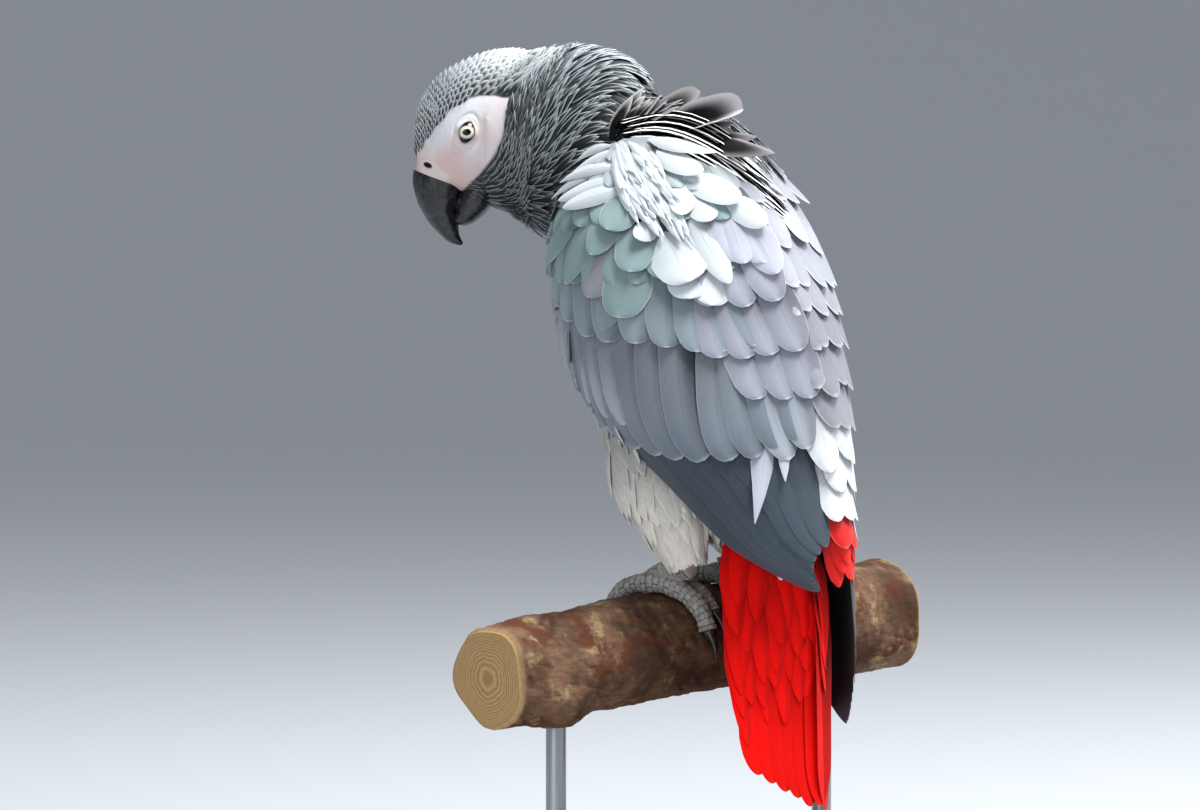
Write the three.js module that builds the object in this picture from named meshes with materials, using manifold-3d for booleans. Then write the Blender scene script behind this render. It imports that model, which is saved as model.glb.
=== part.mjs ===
// A grey parrot at life size, perched on a cut length of branch over a display stand.
// Millimetres. +Z is up, the bird's body faces -Y and its left side is +X.
// The row origin is the middle of the stand's underside.
import * as THREE from "three";
import { mergeVertices } from "three/addons/utils/BufferGeometryUtils.js";
import Module from "manifold-3d";

const wasm = await Module();
wasm.setup();

// ---------------------------------------------------------------- driving dimensions
const GAP = 0.35; // left between neighbouring pieces
const PERCH_HEIGHT = 94; // the perch's axis under the bird, above the table
const BIRD_SETBACK = -10; // the bird's frame along Y, so that its weight is over the base

const HEAD_CENTRE = [22, -95, 203]; // midway between the eyes, in the bird's frame
const HEAD_YAW = 30; // degrees the head is turned to the bird's left
const HEAD_PITCH = 37; // degrees the bill points down
const EYE_RADIUS = 5.4;
const EYE_OUT = 16.4; // eye centre from the head's middle plane

const PERCH_RADIUS = 21.5;
const PERCH_LENGTH = 224;
const PERCH_SKEW = 16; // degrees between the perch and the bird's left-right line
const PERCH_RISE = 4; // degrees it climbs towards the bird's right
const FOOT_OUT = 18; // each foot from the bird's middle plane
const PERCH_BACK = -4; // the perch's axis along Y at the bird's middle plane

const TOE_RADIUS = 3.4;
const TAIL_FEATHERS = 12;

const BASE_LENGTH = 216;
const BASE_WIDTH = 156;
const BASE_THICKNESS = 13;
const BASE_EDGE = 3; // radius that eases the base's upper edge
const ROD_RADIUS = 4;
const ROD_SPACING = 150; // between the two rods, along the perch

// ---------------------------------------------------------------- colours
const finish = (color, roughness, metalness = 0) =>
  new THREE.MeshStandardMaterial({ color, roughness, metalness });
const greyPlumage = finish(0x8f979e, 0.8);
const palePlumage = finish(0xcfd3d6, 0.8);
const slatePlumage = finish(0x4f5a63, 0.7);
const redPlumage = finish(0xd3120c, 0.65);
const whiteSkin = finish(0xe6dcda, 0.6);
const blackHorn = finish(0x1d1e20, 0.35);
const paleIris = finish(0xd9d8b4, 0.1);
const greyScute = finish(0xa3a19b, 0.6);
const bark = finish(0x6d5439, 0.9);
const darkWood = finish(0x2b1d14, 0.35);
const steel = finish(0x9a9da1, 0.3, 1);

// ---------------------------------------------------------------- small maths
const point = (x, y, z) => new THREE.Vector3(x, y, z);
const radians = THREE.MathUtils.degToRad;
const mix = THREE.MathUtils.lerp;
const smooth = THREE.MathUtils.smoothstep;

// A smooth run through evenly spaced numbers, read at t from 0 to 1 (Catmull-Rom).
function runThrough(values, t) {
  const place = Math.min(Math.max(t, 0), 1) * (values.length - 1);
  const i = Math.min(Math.floor(place), values.length - 2);
  const u = place - i;
  const [a, b, c, d] = [i - 1, i, i + 1, i + 2].map(
    (k) => values[Math.min(Math.max(k, 0), values.length - 1)],
  );
  const bend = (2 * a - 5 * b + 4 * c - d) * u ** 2 + (3 * b - a - 3 * c + d) * u ** 3;
  return 0.5 * (2 * b + (c - a) * u + bend);
}

// The same for points given as [x, y, z].
const pathThrough = (points, t) =>
  point(...[0, 1, 2].map((k) => runThrough(points.map((p) => p[k]), t)));

// The direction of such a path at t.
const headingOf = (points, t) =>
  pathThrough(points, Math.min(t + 0.01, 1)).sub(pathThrough(points, Math.max(t - 0.01, 0))).normalize();

// n + 1 numbers from a to b.
const steps = (n, a = 0, b = 1) => Array.from({ length: n + 1 }, (_, i) => mix(a, b, i / n));

// ---------------------------------------------------------------- solids from rings
// Closed geometry from rings of points, all with one even count.
// Each end is closed by a strip across its ring.
function geometryFromRings(rings) {
  const around = rings[0].length;
  const index = [];
  for (let i = 0; i < rings.length - 1; i++) {
    for (let j = 0; j < around; j++) {
      const [a, b] = [i * around + j, i * around + ((j + 1) % around)];
      index.push(a, b, b + around, a, b + around, a + around);
    }
  }
  const last = (rings.length - 1) * around;
  for (let j = 0; j < around / 2 - 1; j++) {
    const [a, b, c, d] = [j, j + 1, around - 2 - j, around - 1 - j];
    index.push(a, c, b, a, d, c);
    index.push(last + a, last + b, last + c, last + a, last + c, last + d);
  }
  const geometry = new THREE.BufferGeometry().setFromPoints(rings.flat());
  return geometry.setIndex(index);
}

// A geometry as a manifold-3d solid with its faces pointing out.
function solidOf(geometry) {
  const bare = geometry.clone();
  bare.deleteAttribute("normal");
  bare.deleteAttribute("uv");
  const merged = mergeVertices(bare, 1e-4);
  const vertProperties = merged.attributes.position.array;
  const build = (triVerts) =>
    new wasm.Manifold(new wasm.Mesh({ numProp: 3, vertProperties, triVerts }));
  const triangles = Uint32Array.from(merged.index.array);
  const solid = build(triangles);
  return solid.volume() > 0 ? solid : build(triangles.reverse());
}

const solidFromRings = (rings) => solidOf(geometryFromRings(rings));

// A solid as a flat-shaded mesh under its own name.
function piece(name, solid, material) {
  const { numProp, vertProperties, triVerts } = solid.getMesh();
  const xyz = vertProperties.filter((_, i) => i % numProp < 3);
  const geometry = new THREE.BufferGeometry();
  geometry.setAttribute("position", new THREE.BufferAttribute(new Float32Array(xyz), 3));
  geometry.setIndex(new THREE.BufferAttribute(triVerts, 1));
  geometry.computeVertexNormals();
  const mesh = new THREE.Mesh(geometry, material);
  mesh.name = name;
  return mesh;
}

// The largest of the bodies that a cut leaves.
const mainBody = (solid) =>
  solid.decompose().reduce((a, b) => (a.volume() > b.volume() ? a : b));

// Evenly spaced angles round a ring of that many sides.
const anglesOf = (sides) => steps(sides - 1, 0, 2 * Math.PI * (1 - 1 / sides));

// ---------------------------------------------------------------- tapering tubes
const END_SHRINK = 0.6; // the ring that rounds each end, as a share of the end's radius
const END_PUSH = 0.6; // how far beyond the end it stands, as a share too
const PLAIN_TUBE = { sides: 8, rings: 9, grow: 0, up: point(0, 0, 1), flatten: 1 };

// A tube along path points, with a radius for each and round ends. flatten squeezes it across `up`.
function tube(points, radii, options = {}) {
  const { sides, rings, grow, up, flatten } = { ...PLAIN_TUBE, ...options };
  const section = (t, shrink, push) => {
    const heading = headingOf(points, t);
    const centre = pathThrough(points, t).addScaledVector(heading, push);
    const across = new THREE.Vector3().crossVectors(up, heading).normalize();
    const above = new THREE.Vector3().crossVectors(heading, across);
    const radius = (runThrough(radii, t) + grow) * shrink;
    return anglesOf(sides).map((a) =>
      centre
        .clone()
        .addScaledVector(across, radius * Math.cos(a))
        .addScaledVector(above, radius * flatten * Math.sin(a)),
    );
  };
  const first = (radii[0] + grow) * END_PUSH;
  const last = (radii[radii.length - 1] + grow) * END_PUSH;
  return solidFromRings([
    section(0, END_SHRINK, -first),
    ...steps(rings).map((t) => section(t, 1, 0)),
    section(1, END_SHRINK, last),
  ]);
}

// ---------------------------------------------------------------- trunk and neck
// Stations from the tail's root up the back, over the shoulders and into the head.
const SPINE = [
  [0, 47, 24], [0, 37, 48], [0, 20, 80], [0, 6, 116], [0, -6, 148],
  [0, -21, 177], [3, -43, 194], [10, -66, 200], [19, -86, 200],
];
const TO_SIDE = [12, 25, 37, 41, 41, 36, 30, 27, 22]; // half widths
const TO_BACK = [9, 19, 33, 43, 46, 46, 41, 36, 27]; // spine to the back's outline
const TO_BELLY = [13, 27, 42, 46, 46, 44, 40, 37, 29]; // spine to the breast's outline
const BODY_SIDES = 18;
const BODY_RINGS = 18;
const NECK_RING = 12; // the ring where trunk becomes neck

// One ring of the body at t, grown outwards by grow.
function bodyRing(t, grow = 0) {
  const centre = pathThrough(SPINE, t);
  const heading = headingOf(SPINE, t);
  const yaw = radians(HEAD_YAW) * smooth(t, 0.6, 1);
  const left = point(Math.cos(yaw), Math.sin(yaw), 0);
  left.addScaledVector(heading, -left.dot(heading)).normalize();
  const back = new THREE.Vector3().crossVectors(heading, left);
  const reaches = [TO_SIDE, TO_BACK, TO_BELLY].map((run) => runThrough(run, t) + grow);
  const [side, dorsal, ventral] = reaches;
  return anglesOf(BODY_SIDES).map((a) =>
    centre
      .clone()
      .addScaledVector(left, side * Math.cos(a))
      .addScaledVector(back, (Math.sin(a) > 0 ? dorsal : ventral) * Math.sin(a)),
  );
}

// The body between two of its rings, so that every piece of it has the same facets.
function bodyBetween(first, last, grow = 0) {
  const rings = steps(last - first, first / BODY_RINGS, last / BODY_RINGS);
  return solidFromRings(rings.map((t) => bodyRing(t, grow)));
}

const wholeBodyGrown = bodyBetween(0, BODY_RINGS, GAP);
const trunk = bodyBetween(0, NECK_RING);

// ---------------------------------------------------------------- head
const headYaw = radians(HEAD_YAW);
const headPitch = radians(HEAD_PITCH);
const headForward = point(
  Math.sin(headYaw) * Math.cos(headPitch),
  -Math.cos(headYaw) * Math.cos(headPitch),
  -Math.sin(headPitch),
);
const headLeft = point(Math.cos(headYaw), Math.sin(headYaw), 0);
const headUp = new THREE.Vector3().crossVectors(headForward, headLeft);

// A point given in the head's own frame: forward, up and to the left of the point between the eyes.
const inHead = (forward, up, left = 0) =>
  point(...HEAD_CENTRE)
    .addScaledVector(headForward, forward)
    .addScaledVector(headUp, up)
    .addScaledVector(headLeft, left);

// Stations from the nape to the front of the face: forward, crown, throat, half width.
const SKULL = [
  [-43, 5, -10, 7], [-37, 15, -18, 13.5], [-27, 21.6, -23.5, 18.6],
  [-16, 24.8, -26.5, 20.6], [-5, 25.2, -27.8, 21.2], [5, 22.4, -27.6, 20.4],
  [13, 17.4, -23, 17.6], [19, 11, -15.5, 13.6], [23, 5, -11.5, 10],
];
const HEAD_SIDES = 16;
const HEAD_RINGS = 10;

function skullRing(t, grow = 0) {
  const [forward, crown, throat, wide] = [0, 1, 2, 3].map((k) => runThrough(SKULL.map((s) => s[k]), t));
  const stretch = mix(-grow, grow, t);
  const [centre, high] = [(crown + throat) / 2, (crown - throat) / 2];
  return anglesOf(HEAD_SIDES).map((a) =>
    inHead(forward + stretch, centre + (high + grow) * Math.sin(a), (wide + grow) * Math.cos(a)),
  );
}

const skull = (grow = 0) => solidFromRings(steps(HEAD_RINGS).map((t) => skullRing(t, grow)));

// Sagittal stations of the bill: forward, up, reach to the culmen, reach to the cutting edge, half width.
const UPPER_BILL = [
  [14, -7, 13, 9.5, 10.4], [20, -9, 11.5, 9.5, 9.8], [24.4, -13.5, 9.2, 8.4, 8.4],
  [27.4, -19.4, 7, 6.4, 6.6], [29, -25.2, 5, 4.4, 4.5], [29.8, -30.2, 3, 2.6, 2.6],
  [29, -34.6, 0.7, 0.7, 0.7],
];
const CERE_ENDS = 0.2; // share of the bill's path that is cere
const CERE_SEAM = 0.01; // share left open on each side of that place
const LOWER_BILL = [
  [8, -21, 6, 6.5, 9], [13, -23.5, 6.4, 6.8, 8.6], [17.5, -25.6, 5.6, 6, 7.4],
  [22, -26.6, 3.6, 4.4, 5.4], [25.6, -26, 1.2, 1.6, 2.6],
];
const BILL_SIDES = 10;
const BILL_RINGS = 7;
const BILL_STEP = 0.02; // share of the path between the points that give its direction

// A bill solid from such stations, between two shares of its path.
function billBetween(stations, from, to, grow = 0) {
  const at = (t) => [0, 1, 2, 3, 4].map((k) => runThrough(stations.map((s) => s[k]), t));
  const ring = (t) => {
    const [forward, up, above, below, wide] = at(t);
    const [before, after] = [at(t - BILL_STEP), at(t + BILL_STEP)];
    const turn = Math.atan2(after[1] - before[1], after[0] - before[0]);
    return anglesOf(BILL_SIDES).map((a) => {
      const reach = ((Math.sin(a) > 0 ? above : below) + grow) * Math.sin(a);
      const left = (wide + grow) * Math.cos(a);
      return inHead(forward - reach * Math.sin(turn), up + reach * Math.cos(turn), left);
    });
  };
  return solidFromRings(steps(BILL_RINGS, from, to).map(ring));
}

const eyeBall = (side, grow = 0) => {
  const ball = new THREE.SphereGeometry(EYE_RADIUS + grow, 12, 8);
  const centre = inHead(0, 0, side * EYE_OUT);
  return solidOf(ball.translate(centre.x, centre.y, centre.z));
};

const grownUpperBill = billBetween(UPPER_BILL, 0, 1, GAP);
const grownLowerBill = billBetween(LOWER_BILL, 0, 1, GAP);
const head = mainBody(
  skull()
    .subtract(grownUpperBill)
    .subtract(grownLowerBill)
    .subtract(eyeBall(1, GAP))
    .subtract(eyeBall(-1, GAP)),
);
const cere = billBetween(UPPER_BILL, 0, CERE_ENDS - CERE_SEAM);
const upperBill = billBetween(UPPER_BILL, CERE_ENDS + CERE_SEAM, 1);
const lowerBill = mainBody(billBetween(LOWER_BILL, 0, 1).subtract(grownUpperBill));
const neck = mainBody(
  bodyBetween(NECK_RING, BODY_RINGS)
    .translate(headingOf(SPINE, NECK_RING / BODY_RINGS).multiplyScalar(GAP).toArray())
    .subtract(skull(GAP))
    .subtract(grownUpperBill)
    .subtract(grownLowerBill),
);

// ---------------------------------------------------------------- wings
// Guide lines of the left wing from its bend to its tip: leading edge, outermost bulge and back edge.
const LEADING_EDGE = [
  [34, -37, 187], [42, -44, 167], [47, -40, 138], [48, -32, 112],
  [47, -18, 88], [43, 10, 64], [33, 35, 41], [12, 60, 22],
];
const OUTER_BULGE = [
  [36, -14, 201], [52, -12, 175], [58, -2, 146], [58, 10, 114],
  [54, 22, 88], [43, 40, 62], [28, 53, 40], [11, 64, 23],
];
const BACK_EDGE = [
  [22, 14, 199], [27, 33, 175], [26, 45, 148], [20, 56, 116],
  [16, 61, 86], [13, 63, 60], [10, 65, 40], [8, 65, 25],
];
const WING_THICKNESS = [17, 21, 19, 18, 15, 9, 4, 2.2];
const RIGHT_WING_REACH = 54; // how much lower the right wing's primaries hang
const RIGHT_WING_FORWARD = 1;
const WING_PARTS = { coverts: [0, 0.565], secondaries: [0.572, 0.8], primaries: [0.807, 1] };
const WING_ACROSS = 8;
const WING_RINGS = 16; // along a whole wing
const FEWEST_WING_RINGS = 4; // along any stretch of it
const WING_EDGE_SHARE = 0.35; // thickness at an edge, as a share of the middle's

// The right wing mirrors the left one, held a little further forward, with its last stations drawn
// down the tail.
function guidesOf(side) {
  const [drop, forward] = side > 0 ? [0, 0] : [RIGHT_WING_REACH, RIGHT_WING_FORWARD];
  const place = (guide) =>
    guide.map(([x, y, z], i) => {
      const late = smooth(i / (guide.length - 1), 0.55, 1);
      return [side * x, y - forward * (1 - 0.5 * late), z - drop * late];
    });
  return [LEADING_EDGE, OUTER_BULGE, BACK_EDGE].map(place);
}

// A point on the wing's outer face: u runs to the tip, v from the leading edge to the back edge.
function wingPoint(guides, u, v) {
  const [front, bulge, rear] = guides.map((g) => pathThrough(g, u));
  const control = bulge.clone().multiplyScalar(2).addScaledVector(front, -0.5).addScaledVector(rear, -0.5);
  return front
    .multiplyScalar((1 - v) ** 2)
    .addScaledVector(control, 2 * v * (1 - v))
    .addScaledVector(rear, v * v);
}

// The solid of one stretch of a wing, as thick as WING_THICKNESS says and thinner at its edges.
function wingBetween(guides, side, from, to) {
  const ring = (u) => {
    const outer = [];
    const inner = [];
    steps(WING_ACROSS).forEach((v) => {
      const here = wingPoint(guides, u, v);
      const [before, after] = [Math.max(u - 0.01, 0), Math.min(u + 0.01, 1)];
      const alongWing = wingPoint(guides, after, v).sub(wingPoint(guides, before, v));
      const acrossWing = wingPoint(guides, u, v + 0.01).sub(wingPoint(guides, u, v - 0.01));
      const inwards = acrossWing.cross(alongWing).normalize().multiplyScalar(side);
      const belly = Math.sqrt(Math.sin(Math.PI * mix(0.06, 0.94, v)));
      const edge = mix(WING_EDGE_SHARE, 1, belly);
      outer.push(here);
      inner.push(here.clone().addScaledVector(inwards, runThrough(WING_THICKNESS, u) * edge));
    });
    return [...outer, ...inner.reverse()];
  };
  const rings = Math.max(FEWEST_WING_RINGS, Math.round((to - from) * WING_RINGS));
  return solidFromRings(steps(rings, from, to).map(ring));
}

// ---------------------------------------------------------------- tail
const TAIL_ROOT = 50; // height of the feathers' roots
const RIDGE_END = -66; // where the middle pair ends
const OUTER_END = -48; // where the outermost pair ends
const TAIL_HALF_WIDTHS = [22, 30, 32, 33, 33.5, 33];
const TAIL_RIDGE_Y = [50, 55, 57, 57, 57, 57];
const TAIL_DROPS = [20, 26, 26, 24, 21, 18]; // how far the outer edges stand forward of the ridge
const TAIL_THICKNESS = [13, 8, 4.5, 3, 2.2, 1.6];
const TAIL_RINGS = 13;
const TAIL_COVERTS_RING = 5; // the ring where the red coverts end over the tail feathers

// The tail is a low roof of overlapping feathers. u runs down it, v from the right edge to the left edge.
function tailPoint(u, v, depth = 0) {
  const width = runThrough(TAIL_HALF_WIDTHS, u);
  const end = mix(RIDGE_END, OUTER_END, Math.abs(v) ** 1.6);
  const lap = ((Math.abs(v) * TAIL_FEATHERS) / 2) % 1;
  const scallop = 3 * smooth(u, 0.75, 1) * (lap - 0.5) ** 2;
  const y = runThrough(TAIL_RIDGE_Y, u) - runThrough(TAIL_DROPS, u) * Math.abs(v) ** 1.35 - depth;
  return point(width * v, y, mix(TAIL_ROOT, end + scallop, u));
}

// The tail between two of its rings, extra millimetres thicker and wider.
function tailBetween(first, last, extra = 0) {
  const ring = (u) => {
    const thick = runThrough(TAIL_THICKNESS, u);
    const outer = steps(TAIL_FEATHERS, -1, 1).map((v) => tailPoint(u, v, -extra / 2));
    const inner = steps(TAIL_FEATHERS, 1, -1).map((v) =>
      tailPoint(u, v, thick * (0.45 + 0.55 * Math.cos((v * Math.PI) / 2)) + extra / 2),
    );
    return [...outer, ...inner];
  };
  const solid = solidFromRings(steps(last - first, first / TAIL_RINGS, last / TAIL_RINGS).map(ring));
  const widen = 1 + extra / 2 / Math.max(...TAIL_HALF_WIDTHS);
  return solid.scale([widen, 1, 1]);
}

const COVERT_SWELL = 1; // how much thicker the coverts are than the feathers under them
const tailSolid = tailBetween(TAIL_COVERTS_RING, TAIL_RINGS);
const UNDER_TAIL = [[0, 33, 32], [0, 37, 20], [0, 43, 4]];
const UNDER_TAIL_RADII = [15, 12, 4.5];
const underTail = tube(UNDER_TAIL, UNDER_TAIL_RADII, {
  sides: 14,
  rings: 5,
  up: point(0, 1, 0),
  flatten: 0.8,
});
const tailGrown = tailBetween(TAIL_COVERTS_RING, TAIL_RINGS, 2 * GAP);
const tailCoverts = mainBody(
  tailBetween(0, TAIL_COVERTS_RING, COVERT_SWELL)
    .add(underTail)
    .translate([0, 0, GAP])
    .subtract(wholeBodyGrown)
    .subtract(tailGrown),
);

const flesh = wholeBodyGrown
  .add(tailBetween(0, TAIL_COVERTS_RING, COVERT_SWELL + 2 * GAP))
  .add(tailGrown);

// The three named stretches of one wing.
function wingSolids(side) {
  const guides = guidesOf(side);
  return Object.entries(WING_PARTS).map(([part, [from, to]]) => [
    part,
    mainBody(wingBetween(guides, side, from, to).subtract(flesh)),
  ]);
}

// What a wing keeps clear of the thigh under it: its own solids, and their copies moved in, forward
// and down.
function roomUnderWing(solids, side) {
  const shifts = [[0, 0, 0], [-side * 2 * GAP, 0, 0], [0, -2 * GAP, 0], [0, 0, -2 * GAP]];
  const copies = solids.flatMap(([, solid]) => shifts.map((shift) => solid.translate(shift)));
  return copies.reduce((whole, copy) => whole.add(copy));
}

// ---------------------------------------------------------------- perch
const perchYaw = radians(PERCH_SKEW);
const perchRise = radians(PERCH_RISE);
// Along the perch towards the bird's right, along its top, and level across it towards the bird's back.
const perchAlong = point(
  -Math.cos(perchYaw) * Math.cos(perchRise),
  Math.sin(perchYaw) * Math.cos(perchRise),
  Math.sin(perchRise),
);
const perchAcross = point(Math.sin(perchYaw), Math.cos(perchYaw), 0);
const perchTop = new THREE.Vector3().crossVectors(perchAcross, perchAlong);

// A point in the perch's own frame: distance along it, angle round it from its top towards the back,
// and radius.
const onPerch = (along, angle, radius) =>
  point(0, PERCH_BACK, 0)
    .addScaledVector(perchAlong, along)
    .addScaledVector(perchAcross, radius * Math.sin(angle))
    .addScaledVector(perchTop, radius * Math.cos(angle));

// The branch swells into knots and bows away from the feet, which stand on its round, straight middle.
function perchRadius(along, angle) {
  const away = smooth(Math.abs(along), 38, 75);
  const ripple = 0.9 * Math.sin(3 * angle + along / 17) + 0.6 * Math.sin(5 * angle - along / 11);
  const knot = 5.5 * Math.exp(-(((along + 84) / 15) ** 2) - ((angle - 2.4) / 0.8) ** 2);
  const stub = 4.5 * Math.exp(-(((along - 70) / 13) ** 2) - ((angle - 0.9) / 0.6) ** 2);
  return PERCH_RADIUS + away * ripple + knot + stub + 1.2 * Math.sin(along / 60) * away;
}

const perchBow = (along) => -2 * smooth(Math.abs(along), 30, PERCH_LENGTH / 2);

const PERCH_SIDES = 18;
const PERCH_RINGS = 14;
const PERCH_BEVEL = 1.5; // taken off each cut end's edge

function perchSolid(grow = 0) {
  const half = PERCH_LENGTH / 2;
  const ring = (along) =>
    anglesOf(PERCH_SIDES).map((a) => {
      const angle = a > Math.PI ? a - 2 * Math.PI : a;
      const bevel = PERCH_BEVEL * smooth(Math.abs(along), half - 2, half);
      const here = onPerch(along, a, perchRadius(along, angle) + grow - bevel);
      return here.addScaledVector(perchTop, perchBow(along));
    });
  return solidFromRings(steps(PERCH_RINGS, -half, half).map(ring));
}

const perch = perchSolid();
const perchGrown = perchSolid(GAP);

// ---------------------------------------------------------------- legs
const HEEL = [24, 8, 31]; // of the left leg
const THIGH_TOP = [25, -17, 92];
const TARSUS_RADII = [5.2, 4.4, 4.8];
const TARSUS_ARCH = 1.5; // how far the tarsus's middle stands above a straight line
const THIGH_RADII = [17, 19, 20, 18.5, 14.5, 8];
// Two toes point forwards and two back, as a parrot's do. The outer one of each pair is the longer.
// Each runs between two distances along the perch, inwards from the foot's middle, and round it by
// reach degrees.
const TOES = {
  inner_front: { from: 3, to: 9, reach: -76, radius: 3.2 },
  outer_front: { from: -3, to: -4, reach: -96, radius: 3.5 },
  outer_rear: { from: -5, to: 4, reach: 75, radius: 3.8 },
  inner_rear: { from: 4.5, to: 11, reach: 58, radius: 3 },
};

const CLAW_PATH = [[2.3, 0.6], [6, 1.3], [9.4, 0.6], [12.4, -1.4]]; // forward of the toe's end, and out
const CLAW_RADII = [2, 1.65, 1.1, 0.45];
const THIGH_BENDS = [[25, -13, 80], [25, -7, 66], [25, 0, 54], [24.5, 4, 43]]; // between hip and heel

// Where each foot stands along the perch, and the left or right leg's own points.
function legOf(side) {
  const footAlong = (-side * FOOT_OUT) / Math.cos(perchYaw);
  const foot = onPerch(footAlong, 0, PERCH_RADIUS + TOE_RADIUS + 1.2);
  const shift = onPerch(footAlong, 0, 0).y - onPerch(-FOOT_OUT / Math.cos(perchYaw), 0, 0).y;
  const mirrored = ([x, y, z], share) => [side * x, y + share * shift, z];
  return { footAlong, foot, heel: mirrored(HEEL, 0.8), top: mirrored(THIGH_TOP, 0) };
}

// A toe lies round the perch at a slant. share 0 is at the foot's middle and 1 at its tip.
function toePoint(leg, side, toe, share) {
  const arch = toe.radius + GAP + 0.9 * Math.sin(Math.PI * share);
  const along = leg.footAlong + side * mix(toe.from, toe.to, Math.sin((Math.PI / 2) * share));
  return onPerch(along, radians(toe.reach) * share, PERCH_RADIUS + arch);
}

function toeSolid(leg, side, toe, grow = 0) {
  const path = steps(6, 0.1, 1).map((share) => toePoint(leg, side, toe, share).toArray());
  const pads = steps(6).map((t) => toe.radius * (1 - 0.16 * t) * (1 + 0.07 * Math.cos(6 * Math.PI * t)));
  return tube(path, pads, { sides: 8, rings: 6, grow, up: perchAlong });
}

// A claw leaves the toe's end and hooks down towards the wood.
function clawSolid(leg, side, toe, grow = 0) {
  const [before, end] = [toePoint(leg, side, toe, 0.86), toePoint(leg, side, toe, 1)];
  const onward = end.clone().sub(before).normalize();
  const outwards = end.clone().sub(onPerch(leg.footAlong, 0, 0));
  outwards.addScaledVector(perchAlong, -outwards.dot(perchAlong)).normalize();
  const path = CLAW_PATH.map(([forward, out]) =>
    end.clone().addScaledVector(onward, forward).addScaledVector(outwards, out).toArray(),
  );
  return tube(path, CLAW_RADII, { sides: 6, rings: 3, grow, up: perchAlong });
}

function legPieces(side, name, roomTaken) {
  const leg = legOf(side);
  const foot = leg.foot.toArray();
  const heel = leg.heel;
  const knuckle = heel.map((value, k) => mix(value, foot[k], 0.5) + (k === 2 ? TARSUS_ARCH : 0));
  const shin = [heel, knuckle, foot];
  const thighPath = [leg.top, ...THIGH_BENDS.map(([x, y, z]) => [side * x, y, z]), heel];
  const thigh = (grow) => tube(thighPath, THIGH_RADII, { sides: 14, rings: 5, grow, up: point(0, 1, 0) });
  const pieces = [];
  let taken = perchGrown.add(flesh).add(roomTaken);
  pieces.push([`thigh_${name}`, mainBody(thigh(0).subtract(taken)), palePlumage]);
  taken = taken.add(thigh(GAP));
  const tarsus = (grow) => tube(shin, TARSUS_RADII, { sides: 8, rings: 4, grow });
  pieces.push([`tarsus_${name}`, mainBody(tarsus(0).subtract(taken)), greyScute]);
  taken = taken.add(tarsus(GAP));
  for (const [toeName, toe] of Object.entries(TOES)) {
    const toeBody = mainBody(toeSolid(leg, side, toe).subtract(taken));
    pieces.push([`toe_${name}_${toeName}`, toeBody, greyScute]);
    taken = taken.add(toeSolid(leg, side, toe, GAP));
    const clawBody = mainBody(clawSolid(leg, side, toe).subtract(taken));
    pieces.push([`claw_${name}_${toeName}`, clawBody, blackHorn]);
    taken = taken.add(clawSolid(leg, side, toe, GAP));
  }
  return pieces;
}

// ---------------------------------------------------------------- display stand
// An oval turned base: a profile from the axis out, round its edge and back, squeezed to the oval.
function baseSolid() {
  const half = BASE_LENGTH / 2;
  const rim = steps(2, 0, Math.PI / 2).map((a) => {
    const [out, up] = [BASE_EDGE * (Math.cos(a) - 1), BASE_EDGE * (Math.sin(a) - 1)];
    return new THREE.Vector2(half + out, BASE_THICKNESS + up);
  });
  const [middle, corner] = [new THREE.Vector2(0, 0), new THREE.Vector2(half, 0)];
  const profile = [middle, corner, ...rim, new THREE.Vector2(0, BASE_THICKNESS)];
  const geometry = new THREE.LatheGeometry(profile, 36);
  geometry.rotateX(Math.PI / 2);
  geometry.scale(1, BASE_WIDTH / BASE_LENGTH, 1);
  return solidOf(geometry);
}

// A rod from the base's top up to the underside of the perch, in the row's frame.
function rodSolid(side) {
  const foot = onPerch((-side * ROD_SPACING) / 2, 0, 0);
  const rod = new THREE.CylinderGeometry(ROD_RADIUS, ROD_RADIUS, PERCH_HEIGHT - BASE_THICKNESS - GAP, 20);
  rod.rotateX(Math.PI / 2);
  rod.translate(foot.x, foot.y + BIRD_SETBACK, (PERCH_HEIGHT + BASE_THICKNESS + GAP) / 2);
  const raised = perchGrown.translate([0, BIRD_SETBACK, PERCH_HEIGHT]);
  const lower = (a, b) => (a.boundingBox().min[2] < b.boundingBox().min[2] ? a : b);
  return solidOf(rod).subtract(raised).decompose().reduce(lower);
}

// ---------------------------------------------------------------- assembly
const bird = new THREE.Group();
bird.position.set(0, BIRD_SETBACK, PERCH_HEIGHT);
const part = new THREE.Group();
part.add(bird);

bird.add(piece("head", head, greyPlumage));
bird.add(piece("cere", cere, whiteSkin));
bird.add(piece("bill_upper", upperBill, blackHorn));
bird.add(piece("bill_lower", lowerBill, blackHorn));
bird.add(piece("eye_left", eyeBall(1), paleIris));
bird.add(piece("eye_right", eyeBall(-1), paleIris));
bird.add(piece("neck", neck, greyPlumage));
bird.add(piece("trunk", trunk, greyPlumage));
bird.add(piece("tail_coverts", tailCoverts, redPlumage));
bird.add(piece("tail", tailSolid, redPlumage));

for (const [side, name] of [[1, "left"], [-1, "right"]]) {
  const wing = wingSolids(side);
  for (const [partName, solid] of wing) {
    const colour = partName === "coverts" ? greyPlumage : slatePlumage;
    bird.add(piece(`wing_${name}_${partName}`, solid, colour));
  }
  for (const [nodeName, solid, colour] of legPieces(side, name, roomUnderWing(wing, side))) {
    bird.add(piece(nodeName, solid, colour));
  }
}

bird.add(piece("perch", perch, bark));
part.add(piece("stand_rod_left", rodSolid(1), steel));
part.add(piece("stand_rod_right", rodSolid(-1), steel));
part.add(piece("stand_base", baseSolid(), darkWood));

export default part;
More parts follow.
